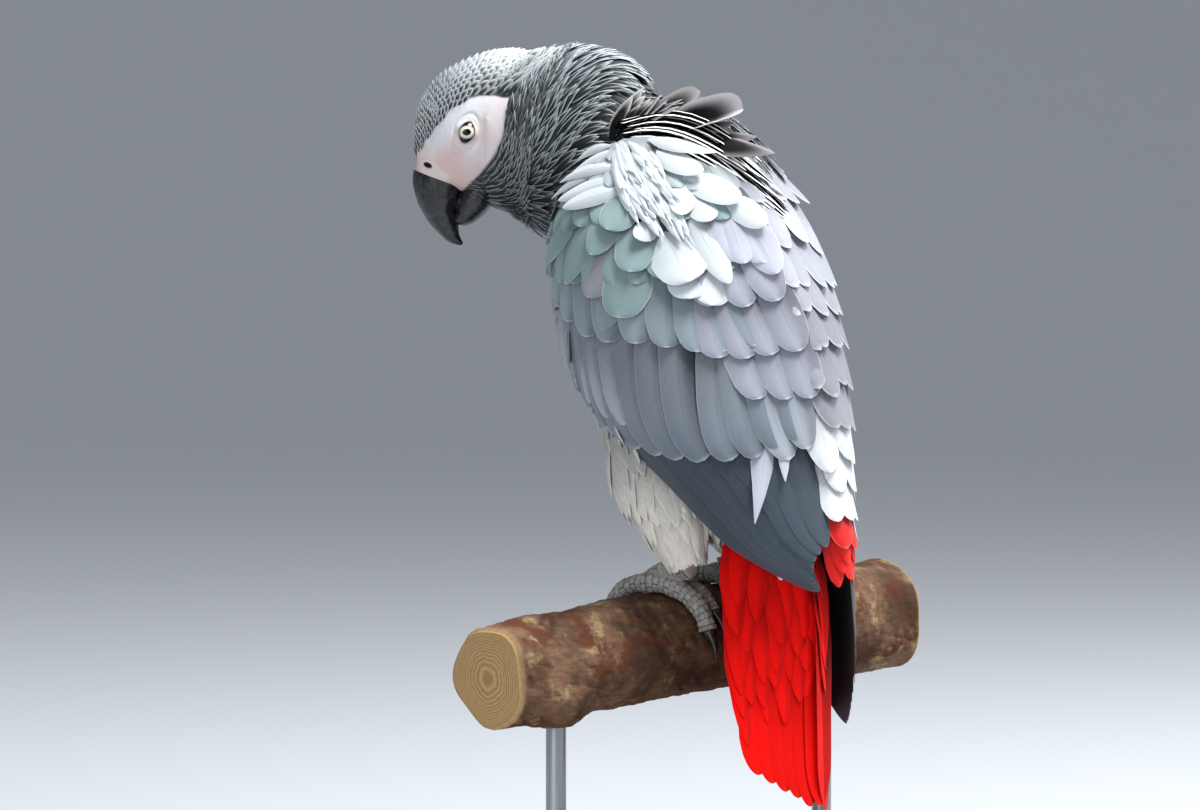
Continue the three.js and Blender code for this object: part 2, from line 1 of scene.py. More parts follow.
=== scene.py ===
# %% [markdown]
# # A grey parrot on its perch
# This lesson builds a life-size grey parrot the way a museum model is built: a skin over the body's
# form, then every feather laid on it in rows from tail to bill, then eyes, bill, feet, perch and stand.
# The solids of the frame give every size and place. The bird's own shapes are worked out in
# millimetres, in a frame whose origin is the perch's axis under the bird.

import bmesh
import bpy
import numpy as np
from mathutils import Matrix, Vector


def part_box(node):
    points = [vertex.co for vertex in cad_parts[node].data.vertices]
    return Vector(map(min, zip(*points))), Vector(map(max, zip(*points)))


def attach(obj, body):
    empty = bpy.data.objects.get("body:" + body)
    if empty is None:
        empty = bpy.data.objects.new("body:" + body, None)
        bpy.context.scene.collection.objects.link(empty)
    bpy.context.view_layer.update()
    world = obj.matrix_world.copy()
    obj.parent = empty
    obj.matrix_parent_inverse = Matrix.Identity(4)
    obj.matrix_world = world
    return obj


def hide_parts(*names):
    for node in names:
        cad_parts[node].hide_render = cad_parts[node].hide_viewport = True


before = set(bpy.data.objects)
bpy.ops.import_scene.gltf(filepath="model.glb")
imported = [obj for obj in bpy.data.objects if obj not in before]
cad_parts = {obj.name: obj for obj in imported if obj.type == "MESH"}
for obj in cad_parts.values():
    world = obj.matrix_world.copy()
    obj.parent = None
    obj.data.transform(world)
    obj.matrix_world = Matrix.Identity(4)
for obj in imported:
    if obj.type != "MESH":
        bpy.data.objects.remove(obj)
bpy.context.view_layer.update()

MM = 0.001
BIRD_AT = np.array([0.0, -10.0, 94.0])  # the bird's frame in the row's frame
rng = np.random.default_rng(7)

# %% [markdown]
# ## Camera, floor and light
# The bird is seen from behind its left shoulder, almost level, through a long lens. The place that the
# lens points at is given from the perch, along the image's right and up. A pale floor runs out flat and
# curves up into a wall all round, so there is no horizon. A broad soft light from above and behind
# brightens the crown, shoulders and back, and a weak one fills the near side.

# %% Camera
VIEW_AZIMUTH, VIEW_ELEVATION = np.radians(120), np.radians(2)
VIEW_DISTANCE = 2750
IMAGE_WIDTH = 1200
PIXELS_PER_MM = 2.5  # at the bird
AIM_RIGHT, AIM_UP = -40, 94
SENSOR_WIDTH = 36

back_of_view = np.array([
    np.sin(VIEW_AZIMUTH) * np.cos(VIEW_ELEVATION),
    -np.cos(VIEW_AZIMUTH) * np.cos(VIEW_ELEVATION),
    np.sin(VIEW_ELEVATION),
])
right_of_view = np.array([np.cos(VIEW_AZIMUTH), np.sin(VIEW_AZIMUTH), 0])
up_of_view = np.cross(back_of_view, right_of_view)
aim = BIRD_AT + AIM_RIGHT * right_of_view + AIM_UP * up_of_view


def place_towards(item, at_mm, target_mm):
    """Puts a camera or light at a point and turns its -Z towards another."""
    item.location = Vector(at_mm * MM)
    item.rotation_mode = "QUATERNION"
    item.rotation_quaternion = Vector(target_mm - at_mm).to_track_quat("-Z", "Y")
    bpy.context.scene.collection.objects.link(item)
    return item


lens = bpy.data.cameras.new("camera")
lens.sensor_width = SENSOR_WIDTH
lens.lens = SENSOR_WIDTH * VIEW_DISTANCE * PIXELS_PER_MM / IMAGE_WIDTH
camera = place_towards(bpy.data.objects.new("camera", lens), aim + VIEW_DISTANCE * back_of_view, aim)
bpy.context.scene.camera = camera
print("camera: lens", round(lens.lens, 1), "mm at", tuple(round(v, 3) for v in camera.location))

# %% Lights
LIGHTS = {  # name: (right, towards the viewer, up) in mm from the bird, side of the square, watts
    "overhead": ((500, 250, 1500), 650, 46),
    "shoulder": ((1300, -300, 900), 600, 15),
    "fill": ((-900, 1700, 500), 1300, 9),
}
LIT_HEIGHT = 110  # of the point that they face, above the perch
AMBIENT_COLOUR, AMBIENT_STRENGTH = (0.80, 0.86, 0.95, 1), 0.34
chest = BIRD_AT + [0, 0, LIT_HEIGHT]
for light_name, ((right, near, up), side, watts) in LIGHTS.items():
    light = bpy.data.lights.new(light_name, "AREA")
    light.size, light.energy = side * MM, watts
    place = chest + right * right_of_view + near * back_of_view * [1, 1, 0] + [0, 0, up]
    place_towards(bpy.data.objects.new(light_name, light), place, chest)

world = bpy.data.worlds.new("studio")
world.use_nodes = True
background = world.node_tree.nodes["Background"].inputs
background["Color"].default_value = AMBIENT_COLOUR
background["Strength"].default_value = AMBIENT_STRENGTH
bpy.context.scene.world = world
bpy.context.scene.view_settings.view_transform = "Standard"
print("lights:", ", ".join(LIGHTS))

# %% [markdown]
# ## Small maths
# `run_through` is a smooth curve through evenly spaced values (Catmull-Rom), straight on past its ends.
# Sections, paths and outlines all read their few driving numbers through it.


# %% Curves through a few values
def unit(v):
    return v / np.linalg.norm(v, axis=-1, keepdims=True)


def ease(x, start, end):
    """0 before start, 1 after end, and a smooth S between them."""
    s = np.clip((np.asarray(x, float) - start) / (end - start), 0, 1)
    return s * s * (3 - 2 * s)


def bell(x, middle, width):
    """A gaussian: 1 at the middle, falling to 0 in about two widths."""
    return np.exp(-(((x - middle) / width) ** 2))


def circle(sides):
    return np.linspace(0, 2 * np.pi, sides, endpoint=False)


def run_through(values, t):
    """The Catmull-Rom curve through evenly spaced rows of values, read at t from 0 to 1."""
    values, t = np.asarray(values, float), np.asarray(t, float)
    last = len(values) - 1
    place = np.clip(t, 0, 1) * last
    i = np.minimum(place.astype(int), last - 1)
    u, beyond = place - i, np.maximum(t - 1, 0) + np.minimum(t, 0)
    if values.ndim > 1:
        u, beyond = u[..., None], beyond[..., None]
    a, b, c, d = (values[np.clip(i + k, 0, last)] for k in (-1, 0, 1, 2))
    curve = 0.5 * (
        2 * b + (c - a) * u + (2 * a - 5 * b + 4 * c - d) * u**2 + (3 * b - a - 3 * c + d) * u**3
    )
    end_slope = np.where(beyond > 0, values[-1] - values[-2], values[1] - values[0]) * last
    return curve + beyond * end_slope


def heading_along(path, t, step=0.01):
    """The unit direction of a path at t."""
    return unit(run_through(path, t + step) - run_through(path, t - step))


class Lie:
    """A surface that skin and feathers are laid on: points as a function of two parameters.
    outward is the sign that turns the cross product of its tangents away from the bird."""

    def __init__(self, surface, outward, normal=None):
        self.at, self.outward, self.given = surface, outward, normal

    def tangents(self, p, q, step=1e-3):
        along = (self.at(p + step, q) - self.at(p - step, q)) / (2 * step)
        across = (self.at(p, q + step) - self.at(p, q - step)) / (2 * step)
        return along, across

    def normal(self, p, q):
        return self.given(p, q) if self.given else self.outward * unit(np.cross(*self.tangents(p, q)))


# %% [markdown]
# ## The form
# These are nearly the sections and guide lines that the frame's solids are built from, a little slimmer
# at the crown and behind the nape, so everything laid on them fits the frame. The body is rings round a
# bent spine, the head is rings along its own axis, a wing is a curved sheet between its leading and back
# edges, and the tail is a low roof.

# %% Head form
HEAD_CENTRE = np.array([22.0, -95.0, 203.0])  # midway between the eyes
HEAD_YAW, HEAD_PITCH = np.radians(30), np.radians(37)
HEAD_FORWARD = np.array([
    np.sin(HEAD_YAW) * np.cos(HEAD_PITCH), -np.cos(HEAD_YAW) * np.cos(HEAD_PITCH), -np.sin(HEAD_PITCH)])
HEAD_LEFT = np.array([np.cos(HEAD_YAW), np.sin(HEAD_YAW), 0])
HEAD_UP = np.cross(HEAD_FORWARD, HEAD_LEFT)
HEAD_AXES = np.array([HEAD_FORWARD, HEAD_UP, HEAD_LEFT])
SKULL = [  # forward, crown, throat, half width
    [-43, 5, -10, 7], [-37, 14, -18, 13.5], [-27, 20.6, -23.5, 18.6], [-16, 24.0, -26.5, 20.6],
    [-5, 25.2, -27.8, 21.2], [5, 22.4, -27.6, 20.4], [13, 17.4, -23, 17.6], [19, 11, -15.5, 13.6],
    [23, 5, -11.5, 10],
]


def in_head(forward, up, left):
    """Points given in the head's frame as points in the bird's frame."""
    return HEAD_CENTRE + np.stack(np.broadcast_arrays(forward, up, left), -1) @ HEAD_AXES


def to_head(points):
    """Points of the bird's frame as forward, up and left in the head's frame."""
    return (points - HEAD_CENTRE) @ HEAD_AXES.T


def skull_at(t, turn, grow=0.0):
    """Elliptic rings from the nape (t = 0) to the face (t = 1). Turn 0 is left, a quarter is the crown."""
    forward, crown, throat, wide = np.moveaxis(run_through(SKULL, t), -1, 0)
    high = (crown - throat) / 2 + grow
    return in_head(forward, (crown + throat) / 2 + high * np.sin(turn), (wide + grow) * np.cos(turn))


# %% Body form
SPINE = [
    [0, 47, 24], [0, 37, 48], [0, 20, 80], [0, 6, 116], [0, -6, 148],
    [0, -21, 177], [3, -43, 194], [10, -66, 200], [19, -86, 200],
]
TO_SIDE = [12, 25, 37, 41, 41, 36, 30, 27, 22]
TO_BACK = [9, 19, 33, 43, 46, 46, 41, 37.5, 27]
TO_BELLY = [13, 27, 42, 46, 46, 44, 40, 37, 29]
NAPE_DIP, NAPE_AT, NAPE_WIDTH = 11, 0.712, 0.04  # the hollow between hackles and mantle


def spine_frame(t):
    """The body's centre, heading, left and back at t along its spine. The neck turns with the head."""
    heading = heading_along(SPINE, t)
    yaw = HEAD_YAW * ease(t, 0.6, 1)
    left = np.stack([np.cos(yaw), np.sin(yaw), 0 * yaw], -1)
    left = unit(left - heading * (left * heading).sum(-1, keepdims=True))
    return run_through(SPINE, t), heading, left, np.cross(heading, left)


def body_at(t, turn, grow=0.0):
    """Rings round the spine from the tail's root (t = 0) to the head (t = 1). Turn 0 is left, and a
    quarter turn is the back."""
    centre, _, left, back = spine_frame(t)
    side, dorsal, ventral = (run_through(v, t) + grow for v in (TO_SIDE, TO_BACK, TO_BELLY))
    dorsal = dorsal - NAPE_DIP * bell(t, NAPE_AT, NAPE_WIDTH)
    up = np.where(np.sin(turn) > 0, dorsal, ventral) * np.sin(turn)
    return centre + left * (side * np.cos(turn))[..., None] + back * up[..., None]


# %% Wing and tail forms
LEADING_EDGE = [
    [34, -37, 187], [42, -44, 167], [47, -40, 138], [48, -32, 112],
    [47, -18, 88], [43, 10, 64], [33, 35, 41], [12, 60, 22],
]
OUTER_BULGE = [
    [36, -14, 201], [52, -12, 175], [58, -2, 146], [58, 10, 114],
    [54, 22, 88], [43, 40, 62], [28, 53, 40], [11, 64, 23],
]
BACK_EDGE = [
    [22, 14, 199], [27, 33, 175], [26, 45, 148], [20, 56, 116],
    [16, 61, 86], [13, 63, 60], [10, 65, 40], [8, 65, 25],
]
WING_THICKNESS = [17, 21, 19, 18, 15, 9, 4, 2.2]
RIGHT_WING_REACH = 54  # how much lower the right wing's primaries hang
TAIL_ROOT, RIDGE_END, OUTER_END = 50, -66, -48
TAIL_HALF_WIDTHS = [22, 30, 32, 33, 33.5, 33]
TAIL_RIDGE_Y = [50, 55, 57, 57, 57, 57]
TAIL_DROPS = [20, 26, 26, 24, 21, 18]


def wing_form(side):
    """The outer face of a wing: u runs from its bend to its tip, v from the leading edge to the back edge.
    Across, it is a quadratic curve through the leading edge, the outermost bulge and the back edge."""
    late = ease(np.linspace(0, 1, 8), 0.55, 1)[:, None]
    shift = np.array([0, -1, 0]) * (1 - 0.5 * late) - np.array([0, 0, RIGHT_WING_REACH]) * late
    guides = [np.array(g, float) * [side, 1, 1] + (shift if side < 0 else 0)
              for g in (LEADING_EDGE, OUTER_BULGE, BACK_EDGE)]

    def at(u, v):
        front, bulge, rear = (run_through(g, u) for g in guides)
        control = 2 * bulge - 0.5 * front - 0.5 * rear
        v = np.asarray(v, float)[..., None]
        return front * (1 - v) ** 2 + control * 2 * v * (1 - v) + rear * v**2

    return Lie(at, side)


def tail_at(u, v):
    """The tail's upper face: u runs down it, v from the right edge (-1) over the ridge to the left (1)."""
    spread = np.abs(v)
    end = RIDGE_END + (OUTER_END - RIDGE_END) * spread**1.6
    y = run_through(TAIL_RIDGE_Y, u) - run_through(TAIL_DROPS, u) * spread**1.35
    return np.stack([run_through(TAIL_HALF_WIDTHS, u) * v, y, TAIL_ROOT + (end - TAIL_ROOT) * u], -1)


body_lie, tail_lie = Lie(body_at, -1), Lie(tail_at, -1)
wing_lies = {1: wing_form(1), -1: wing_form(-1)}
print("form: head", np.round(HEAD_FORWARD, 3), "wing tip", np.round(wing_lies[1].at(1.0, 0.5), 1))

# %% [markdown]
# ## Meshes and materials by hand
# A piece is points and faces as whole arrays. `Finish` builds a material: sockets become `Wire` objects,
# so that `1 - mask` or `noise * 0.3` adds the Math nodes it needs.


# %% Mesh from arrays
def add_attributes(mesh, attributes):
    """One value a point: a colour where it has four numbers."""
    for key, values in attributes.items():
        kind, field = ("FLOAT_COLOR", "color") if values.ndim > 1 else ("FLOAT", "value")
        layer = mesh.attributes.new(key, kind, "POINT")
        layer.data.foreach_set(field, values.astype(np.float32).ravel())


def make_mesh(name, points, faces, uvs=None, attributes=None, crease=None):
    """A mesh object from points (mm, bird's frame) and face arrays of one or more corner counts.
    uvs and attributes hold one value a point; crease is the angle past which an edge stays sharp."""
    mesh = bpy.data.meshes.new(name)
    corners = np.concatenate([f.ravel() for f in faces]).astype(np.int32)
    sizes = np.concatenate([np.full(len(f), f.shape[1]) for f in faces]).astype(np.int32)
    mesh.vertices.add(len(points))
    mesh.vertices.foreach_set("co", ((points + BIRD_AT) * MM).astype(np.float32).ravel())
    mesh.loops.add(len(corners))
    mesh.loops.foreach_set("vertex_index", corners)
    mesh.polygons.add(len(sizes))
    mesh.polygons.foreach_set("loop_start", np.concatenate([[0], np.cumsum(sizes)[:-1]]).astype(np.int32))
    mesh.update(calc_edges=True)
    mesh.validate()
    for uv_name, uv in (uvs or {}).items():
        layer = mesh.uv_layers.new(name=uv_name)
        layer.data.foreach_set("uv", uv[corners].astype(np.float32).ravel())
    add_attributes(mesh, attributes or {})
    mesh.polygons.foreach_set("use_smooth", np.ones(len(sizes), bool))
    if crease is not None:
        mesh.set_sharp_from_angle(angle=crease)
    piece = bpy.data.objects.new(name, mesh)
    bpy.context.scene.collection.objects.link(piece)
    return piece


def grid_faces(rows, columns, wrap=False):
    """Quads between neighbouring rows of a grid of points; wrap joins the last column to the first."""
    r = np.arange(rows - 1)[:, None] * columns
    c = np.arange(columns if wrap else columns - 1)[None]
    d = (c + 1) % columns
    return np.stack(np.broadcast_arrays(r + c, r + d, r + columns + d, r + columns + c), -1).reshape(-1, 4)


def capped_tube(rings):
    """Points and faces of a closed tube from rings (rows, sides, 3), its ends closed by fans."""
    rows, sides = rings.shape[:2]
    points = np.concatenate([rings.reshape(-1, 3), rings[0].mean(0)[None], rings[-1].mean(0)[None]])
    j = np.arange(sides)
    k = (j + 1) % sides
    first = np.stack([k, j, np.full(sides, rows * sides)], -1)
    last = (rows - 1) * sides
    final = np.stack([last + j, last + k, np.full(sides, rows * sides + 1)], -1)
    return points, [grid_faces(rows, sides, wrap=True), np.concatenate([first, final])]


def joined(parts):
    """The points and faces of several capped tubes as one set."""
    offsets = np.cumsum([0] + [len(part[0]) for part in parts])
    faces = [np.concatenate([part[1][k] + o for part, o in zip(parts, offsets)]) for k in (0, 1)]
    return np.concatenate([part[0] for part in parts]), faces


def face_outwards(piece):
    work = bmesh.new()
    work.from_mesh(piece.data)
    bmesh.ops.recalc_face_normals(work, faces=work.faces)
    work.to_mesh(piece.data)
    work.free()
    return piece


def finish_piece(piece, material, slot, *nodes):
    """Material, slot (not used), the body it rides on and the solids it stands for."""
    piece.data.materials.clear()
    piece.data.materials.append(material)
    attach(piece, "root")
    if nodes:
        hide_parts(*nodes)
    print(f"{piece.name}: {len(piece.data.polygons)} faces")
    return piece


# %% Colours
def paint(code):
    """A colour written as six hexadecimal digits, as linear red, green, blue and a full alpha."""
    srgb = np.array([int(code[i : i + 2], 16) / 255 for i in (0, 2, 4)])
    linear = np.where(srgb <= 0.04045, srgb / 12.92, ((srgb + 0.055) / 1.055) ** 2.4)
    return np.append(linear, 1.0)


# %% Sums of sockets
def operator(operation, swapped=False):
    """A method that adds one Math node with its wire first, or last where swapped."""

    def method(wire, *others):
        values = (*others, wire) if swapped else (wire, *others)
        return wire.look.node("ShaderNodeMath", {"operation": operation}, values)

    return method


class Wire:
    """A socket that takes part in sums."""

    __add__ = __radd__ = operator("ADD")
    __mul__ = __rmul__ = operator("MULTIPLY")
    __sub__, __rsub__ = operator("SUBTRACT"), operator("SUBTRACT", swapped=True)
    __pow__, __abs__, sine = operator("POWER"), operator("ABSOLUTE"), operator("SINE")

    def __init__(self, look, socket):
        self.look, self.socket = look, socket

    def eased(self, start, end):
        """0 before start, 1 after end, smooth between."""
        settings = {"interpolation_type": "SMOOTHSTEP"}
        inputs = {"Value": self, "From Min": start, "From Max": end}
        return self.look.node("ShaderNodeMapRange", settings, inputs)


# %% A material and its nodes
class Finish:
    """A material with one Principled shader, and the nodes that feed it."""

    def __init__(self, name, **shader):
        self.material = bpy.data.materials.new(name)
        self.material.use_nodes = True
        self.tree = self.material.node_tree
        self.shader = self.tree.nodes["Principled BSDF"]
        for socket, value in shader.items():
            self.feed(self.shader.inputs[socket.replace("_", " ")], value)

    def feed(self, socket, value):
        if isinstance(value, Wire):
            self.tree.links.new(value.socket, socket)
        elif socket.type == "RGBA":
            socket.default_value = tuple(value[:3]) + (1,)
        else:
            socket.default_value = value

    def node(self, kind, settings=None, inputs=(), output=0):
        """A node of that type, its settings set first, then its sockets' values or links."""
        made = self.tree.nodes.new(kind)
        for key, value in (settings or {}).items():
            setattr(made, key, value)
        pairs = inputs.items() if isinstance(inputs, dict) else enumerate(inputs)
        for key, value in pairs:
            self.feed(made.inputs[key], value)
        return Wire(self, made.outputs[output])

    def set(self, **sockets):
        for socket, value in sockets.items():
            self.feed(self.shader.inputs[socket.replace("_", " ")], value)
        return self.material

    def place(self):
        return self.node("ShaderNodeTexCoord", output="Object")

    def attribute(self, name, output="Color"):
        return self.node("ShaderNodeAttribute", {"attribute_name": name}, output=output)

    def stretched(self, vector, scale):
        return self.node("ShaderNodeMapping", {}, {"Vector": vector, "Scale": scale})

    def noise(self, vector, scale, detail, roughness=0.55):
        inputs = {"Vector": vector, "Scale": scale, "Detail": detail, "Roughness": roughness}
        return self.node("ShaderNodeTexNoise", {}, inputs, "Fac")

    def cells(self, vector, scale):
        return self.node("ShaderNodeTexVoronoi", {}, {"Vector": vector, "Scale": scale}, "Distance")

    def mix(self, factor, a, b, blend="MIX"):
        """Two colours mixed by factor."""
        settings = {"data_type": "RGBA", "blend_type": blend}
        return self.node("ShaderNodeMix", settings, {0: factor, 6: a, 7: b}, 2)

    def bump(self, height, strength, distance_mm):
        inputs = {"Height": height, "Strength": strength, "Distance": distance_mm * MM}
        return self.node("ShaderNodeBump", {}, inputs)


print("helpers ready")

# %% [markdown]
# ## Stage
# One turned surface is the floor and the wall: flat to near the wall, then a quarter circle up.

# %% Floor and wall
STAGE_RADIUS, STAGE_CURVE, STAGE_HEIGHT, STAGE_SIDES = 6500, 2500, 2600, 96
corner = np.linspace(0, np.pi / 2, 24)
bend = STAGE_RADIUS - STAGE_CURVE + STAGE_CURVE * np.sin(corner)
run = np.concatenate([[1, 400, 1500, 3000], bend, [STAGE_RADIUS]])[:, None]
rise = np.concatenate([[0, 0, 0, 0], STAGE_CURVE * (1 - np.cos(corner)), [STAGE_CURVE + STAGE_HEIGHT]])
turn = circle(STAGE_SIDES)
stage_rings = np.stack([run * np.cos(turn), run * np.sin(turn), rise[:, None] + 0 * turn], -1)
stage_faces = grid_faces(len(run), STAGE_SIDES, wrap=True)
floor = make_mesh("floor", stage_rings.reshape(-1, 3) - BIRD_AT, [stage_faces])
pale = Finish("pale_floor", Roughness=0.9, Emission_Strength=0.12, Emission_Color=paint("dfe3e8"))
floor.data.materials.append(pale.set(Base_Color=paint("b4b8bd")))

# %% [markdown]
# ## Skin
# Under the feathers one skin covers trunk, neck, head, wing bases, thighs, shanks and toes. Each part is
# first a closed tube of rings, set in by the depth of the coat. The tubes overlap, and a voxel remesh
# melts them into a single surface, which is then smoothed. Sculpting the skin by hand would do as well,
# but this way it always fits the feathers above it.

# %% Closed shapes under the coat
COAT_DEPTH = 3.6  # on the body
HEAD_COAT_DEPTH = 1.5
EYE_RADIUS, EYE_OUT = 5.4, 16.4
UPPER_BILL = [  # forward, up, reach to the culmen, reach to the cutting edge, half width
    [14, -7, 13, 9.5, 10.4], [20, -9, 11.5, 9.5, 9.8], [24.4, -13.5, 9.2, 8.4, 8.4],
    [27.4, -19.4, 7, 6.4, 6.6], [29, -25.2, 5, 4.4, 4.5], [29.8, -30.2, 3, 2.6, 2.6],
    [29, -34.6, 0.7, 0.7, 0.7],
]
LOWER_BILL = [
    [8, -21, 7, 6.5, 9], [13, -23.3, 7.6, 6.8, 8.6], [17.5, -25, 7.2, 6, 7.4],
    [22, -25.8, 5.2, 4.4, 5.4], [26, -25, 1.6, 1.6, 2.6],
]
CERE_ENDS = 0.2  # share of the upper bill's path that is cere


def rings_of(surface, p, sides, **options):
    """Rings of a surface whose second parameter is a full turn."""
    return surface(*np.meshgrid(p, circle(sides), indexing="ij"), **options)


def tube_at(path, radii, up, flatten=1.0):
    """A tapering tube as a surface: t along the path, turn round it from its side towards `up`."""

    def at(t, turn, grow=0.0):
        heading = heading_along(path, t)
        across = unit(np.cross(up, heading))
        above = np.cross(heading, across)
        radius = (run_through(radii, t) + grow)[..., None]
        turned = across * np.cos(turn)[..., None] + above * (flatten * np.sin(turn))[..., None]
        return run_through(path, t) + radius * turned

    return at


def bill_at(stations, t, turn, grow=0.0):
    """Elliptic rings across the bill's curved path; a quarter turn is the culmen side."""
    forward, up, above, below, wide = np.moveaxis(run_through(stations, t), -1, 0)
    step = 0.02
    ahead = run_through(stations, t + step) - run_through(stations, t - step)
    lean = np.arctan2(ahead[..., 1], ahead[..., 0])
    reach = (np.where(np.sin(turn) > 0, above, below) + grow) * np.sin(turn)
    return in_head(forward - reach * np.sin(lean), up + reach * np.cos(lean), (wide + grow) * np.cos(turn))


# %% Legs and perch as numbers
PERCH_RADIUS, PERCH_LENGTH, PERCH_BACK = 21.5, 224, -4
PERCH_SKEW, PERCH_RISE = np.radians(16), np.radians(4)
FOOT_OUT, TOE_RADIUS = 18, 3.4
HEEL, THIGH_TOP = [24, 8, 31], [25, -17, 92]
THIGH_BENDS = [[25, -13, 80], [25, -7, 66], [25, 0, 54], [24.5, 4, 43]]
THIGH_RADII = [16, 17.5, 18.5, 17, 13, 7.5]
TARSUS_RADII = [5.2, 4.4, 4.8]
TARSUS_ARCH = 1.5
TOES = {  # distance along the perch from the foot's middle and at the tip, degrees round it, radius
    "inner_front": (3, 9, -76, 3.2),
    "outer_front": (-3, -4, -96, 3.5),
    "outer_rear": (-5, 4, 75, 3.8),
    "inner_rear": (4.5, 11, 58, 3),
}
SIDES = {"left": 1, "right": -1}
perch_along = np.array([
    -np.cos(PERCH_SKEW) * np.cos(PERCH_RISE), np.sin(PERCH_SKEW) * np.cos(PERCH_RISE), np.sin(PERCH_RISE)])
perch_across = np.array([np.sin(PERCH_SKEW), np.cos(PERCH_SKEW), 0])
perch_top = np.cross(perch_across, perch_along)


def on_perch(along, angle, radius):
    """Distance along the perch, angle round it from its top towards the back, and radius."""
    along, angle, radius = (np.asarray(v, float)[..., None] for v in (along, angle, radius))
    return (np.array([0, PERCH_BACK, 0]) + along * perch_along
            + radius * (np.sin(angle) * perch_across + np.cos(angle) * perch_top))


def leg_points(side):
    """Where a foot stands along the perch, and the points of its thigh and shank."""
    foot_along = -side * FOOT_OUT / np.cos(PERCH_SKEW)
    foot = on_perch(foot_along, 0, PERCH_RADIUS + TOE_RADIUS + 1.2)
    shift = on_perch(foot_along, 0, 0)[1] - on_perch(-FOOT_OUT / np.cos(PERCH_SKEW), 0, 0)[1]
    heel = np.array(HEEL) * [side, 1, 1] + [0, 0.8 * shift, 0]
    thigh = np.array([THIGH_TOP, *THIGH_BENDS, heel * [side, 1, 1]]) * [side, 1, 1]
    shank = np.array([heel, (heel + foot) / 2 + [0, 0, TARSUS_ARCH], foot])
    return foot_along, thigh, shank


def toe_path(side, toe, shares):
    """A toe lies round the perch at a slant: share 0 is at the foot's middle and 1 at its tip."""
    start, end, reach, radius = TOES[toe]
    arch = radius + 0.35 + 0.9 * np.sin(np.pi * shares)
    along = leg_points(side)[0] + side * (start + (end - start) * np.sin(np.pi / 2 * shares))
    return on_perch(along, np.radians(reach) * shares, PERCH_RADIUS + arch)


def toe_at(side, toe):
    """A toe's surface, with pads swelling along it."""
    path = toe_path(side, toe, np.linspace(0, 1, 8))
    share = np.linspace(0, 1, 13)
    pads = TOES[toe][3] * (1 - 0.16 * share) * (1 + 0.07 * np.cos(6 * np.pi * share))
    return tube_at(path, pads, perch_along)


# %% One skin from all the parts
VOXEL = 1.35
SKIN_SIDES = 72
BACKWARDS, UPWARDS = np.array([0, 1, 0]), np.array([0, 0, 1])


def wing_base_rings(side):
    """A wing's flesh: the sheet under its coverts, from its outer face to its inner one."""
    lie = wing_lies[side]
    u, v = np.meshgrid(np.linspace(0.03, 0.6, 30), np.linspace(0.03, 0.97, 24), indexing="ij")
    swell = 0.35 + 0.65 * np.sqrt(np.sin(np.pi * (0.06 + 0.88 * v)))
    thickness = run_through(WING_THICKNESS, u) * swell
    outer, inwards = lie.at(u, v), -lie.normal(u, v)
    near = outer + inwards * COAT_DEPTH
    far = outer + inwards * np.maximum(thickness, COAT_DEPTH + 2)[..., None]
    rings = np.concatenate([near, far[:, ::-1]], 1)
    return rings if side > 0 else rings[:, ::-1]


def tail_base_rings():
    """The flesh under the tail coverts."""
    u, v = np.meshgrid(np.linspace(0, 0.34, 12), np.linspace(-0.92, 0.92, 24), indexing="ij")
    near = tail_at(u, v) - [0, 2.6, 0]
    depth = run_through([13, 8, 4.5, 3, 2.2, 1.6], u) * (0.45 + 0.55 * np.cos(v * np.pi / 2))
    far = tail_at(u, v) - depth[..., None] * [0, 1, 0] - [0, 1.5, 0]
    return np.concatenate([near, far[:, ::-1]], 1)


UNDER_TAIL, UNDER_TAIL_RADII = [[0, 33, 32], [0, 37, 20], [0, 43, 4]], [15, 12, 4.5]
under_tail_at = tube_at(UNDER_TAIL, UNDER_TAIL_RADII, BACKWARDS, 0.8)
ventral_depth = -COAT_DEPTH + 2 * ease(np.linspace(0, 1, 90), 0.7, 1)
closed_shapes = [
    rings_of(body_at, np.linspace(0, 1, 90), SKIN_SIDES, grow=ventral_depth[:, None]),
    rings_of(skull_at, np.linspace(0, 1, 60), SKIN_SIDES, grow=-HEAD_COAT_DEPTH),
    rings_of(lambda t, turn: bill_at(UPPER_BILL, t, turn), np.linspace(-0.05, CERE_ENDS, 12), 48),
    rings_of(under_tail_at, np.linspace(0, 1, 20), 32, grow=-3),
    tail_base_rings(),
]
for side in SIDES.values():
    _, thigh_path, shank_path = leg_points(side)
    closed_shapes += [
        wing_base_rings(side),
        rings_of(tube_at(thigh_path, THIGH_RADII, BACKWARDS), np.linspace(0, 1, 30), 48, grow=-3.5),
        rings_of(tube_at(shank_path, TARSUS_RADII, UPWARDS), np.linspace(-0.1, 1, 16), 28),
        *(rings_of(toe_at(side, toe), np.linspace(-0.02, 1, 36), 24, grow=-0.25) for toe in TOES),
    ]

skin = face_outwards(make_mesh("skin", *joined([capped_tube(rings) for rings in closed_shapes])))
melt = skin.modifiers.new("melt", "REMESH")
melt.mode, melt.voxel_size = "VOXEL", VOXEL * MM
settle = skin.modifiers.new("settle", "SMOOTH")
settle.factor, settle.iterations = 0.5, 4
melted = bpy.data.meshes.new_from_object(skin.evaluated_get(bpy.context.evaluated_depsgraph_get()))
skin.modifiers.clear()
skin.data = melted
print("skin:", len(melted.polygons), "faces after melting")

# %% [markdown]
# ## Face, cere and lids
# A grey parrot's cheek is bare white skin round the eye, with a fleshy cere round the nostrils. The
# skin is split finer there, and its points are then moved in the head's own frame: a pit for each
# nostril, a raised rim for the lids, and a hollow behind the eyeball. `face_mask` is the bare patch, and
# both the skin's colour and the head's feathers ask it where they are.

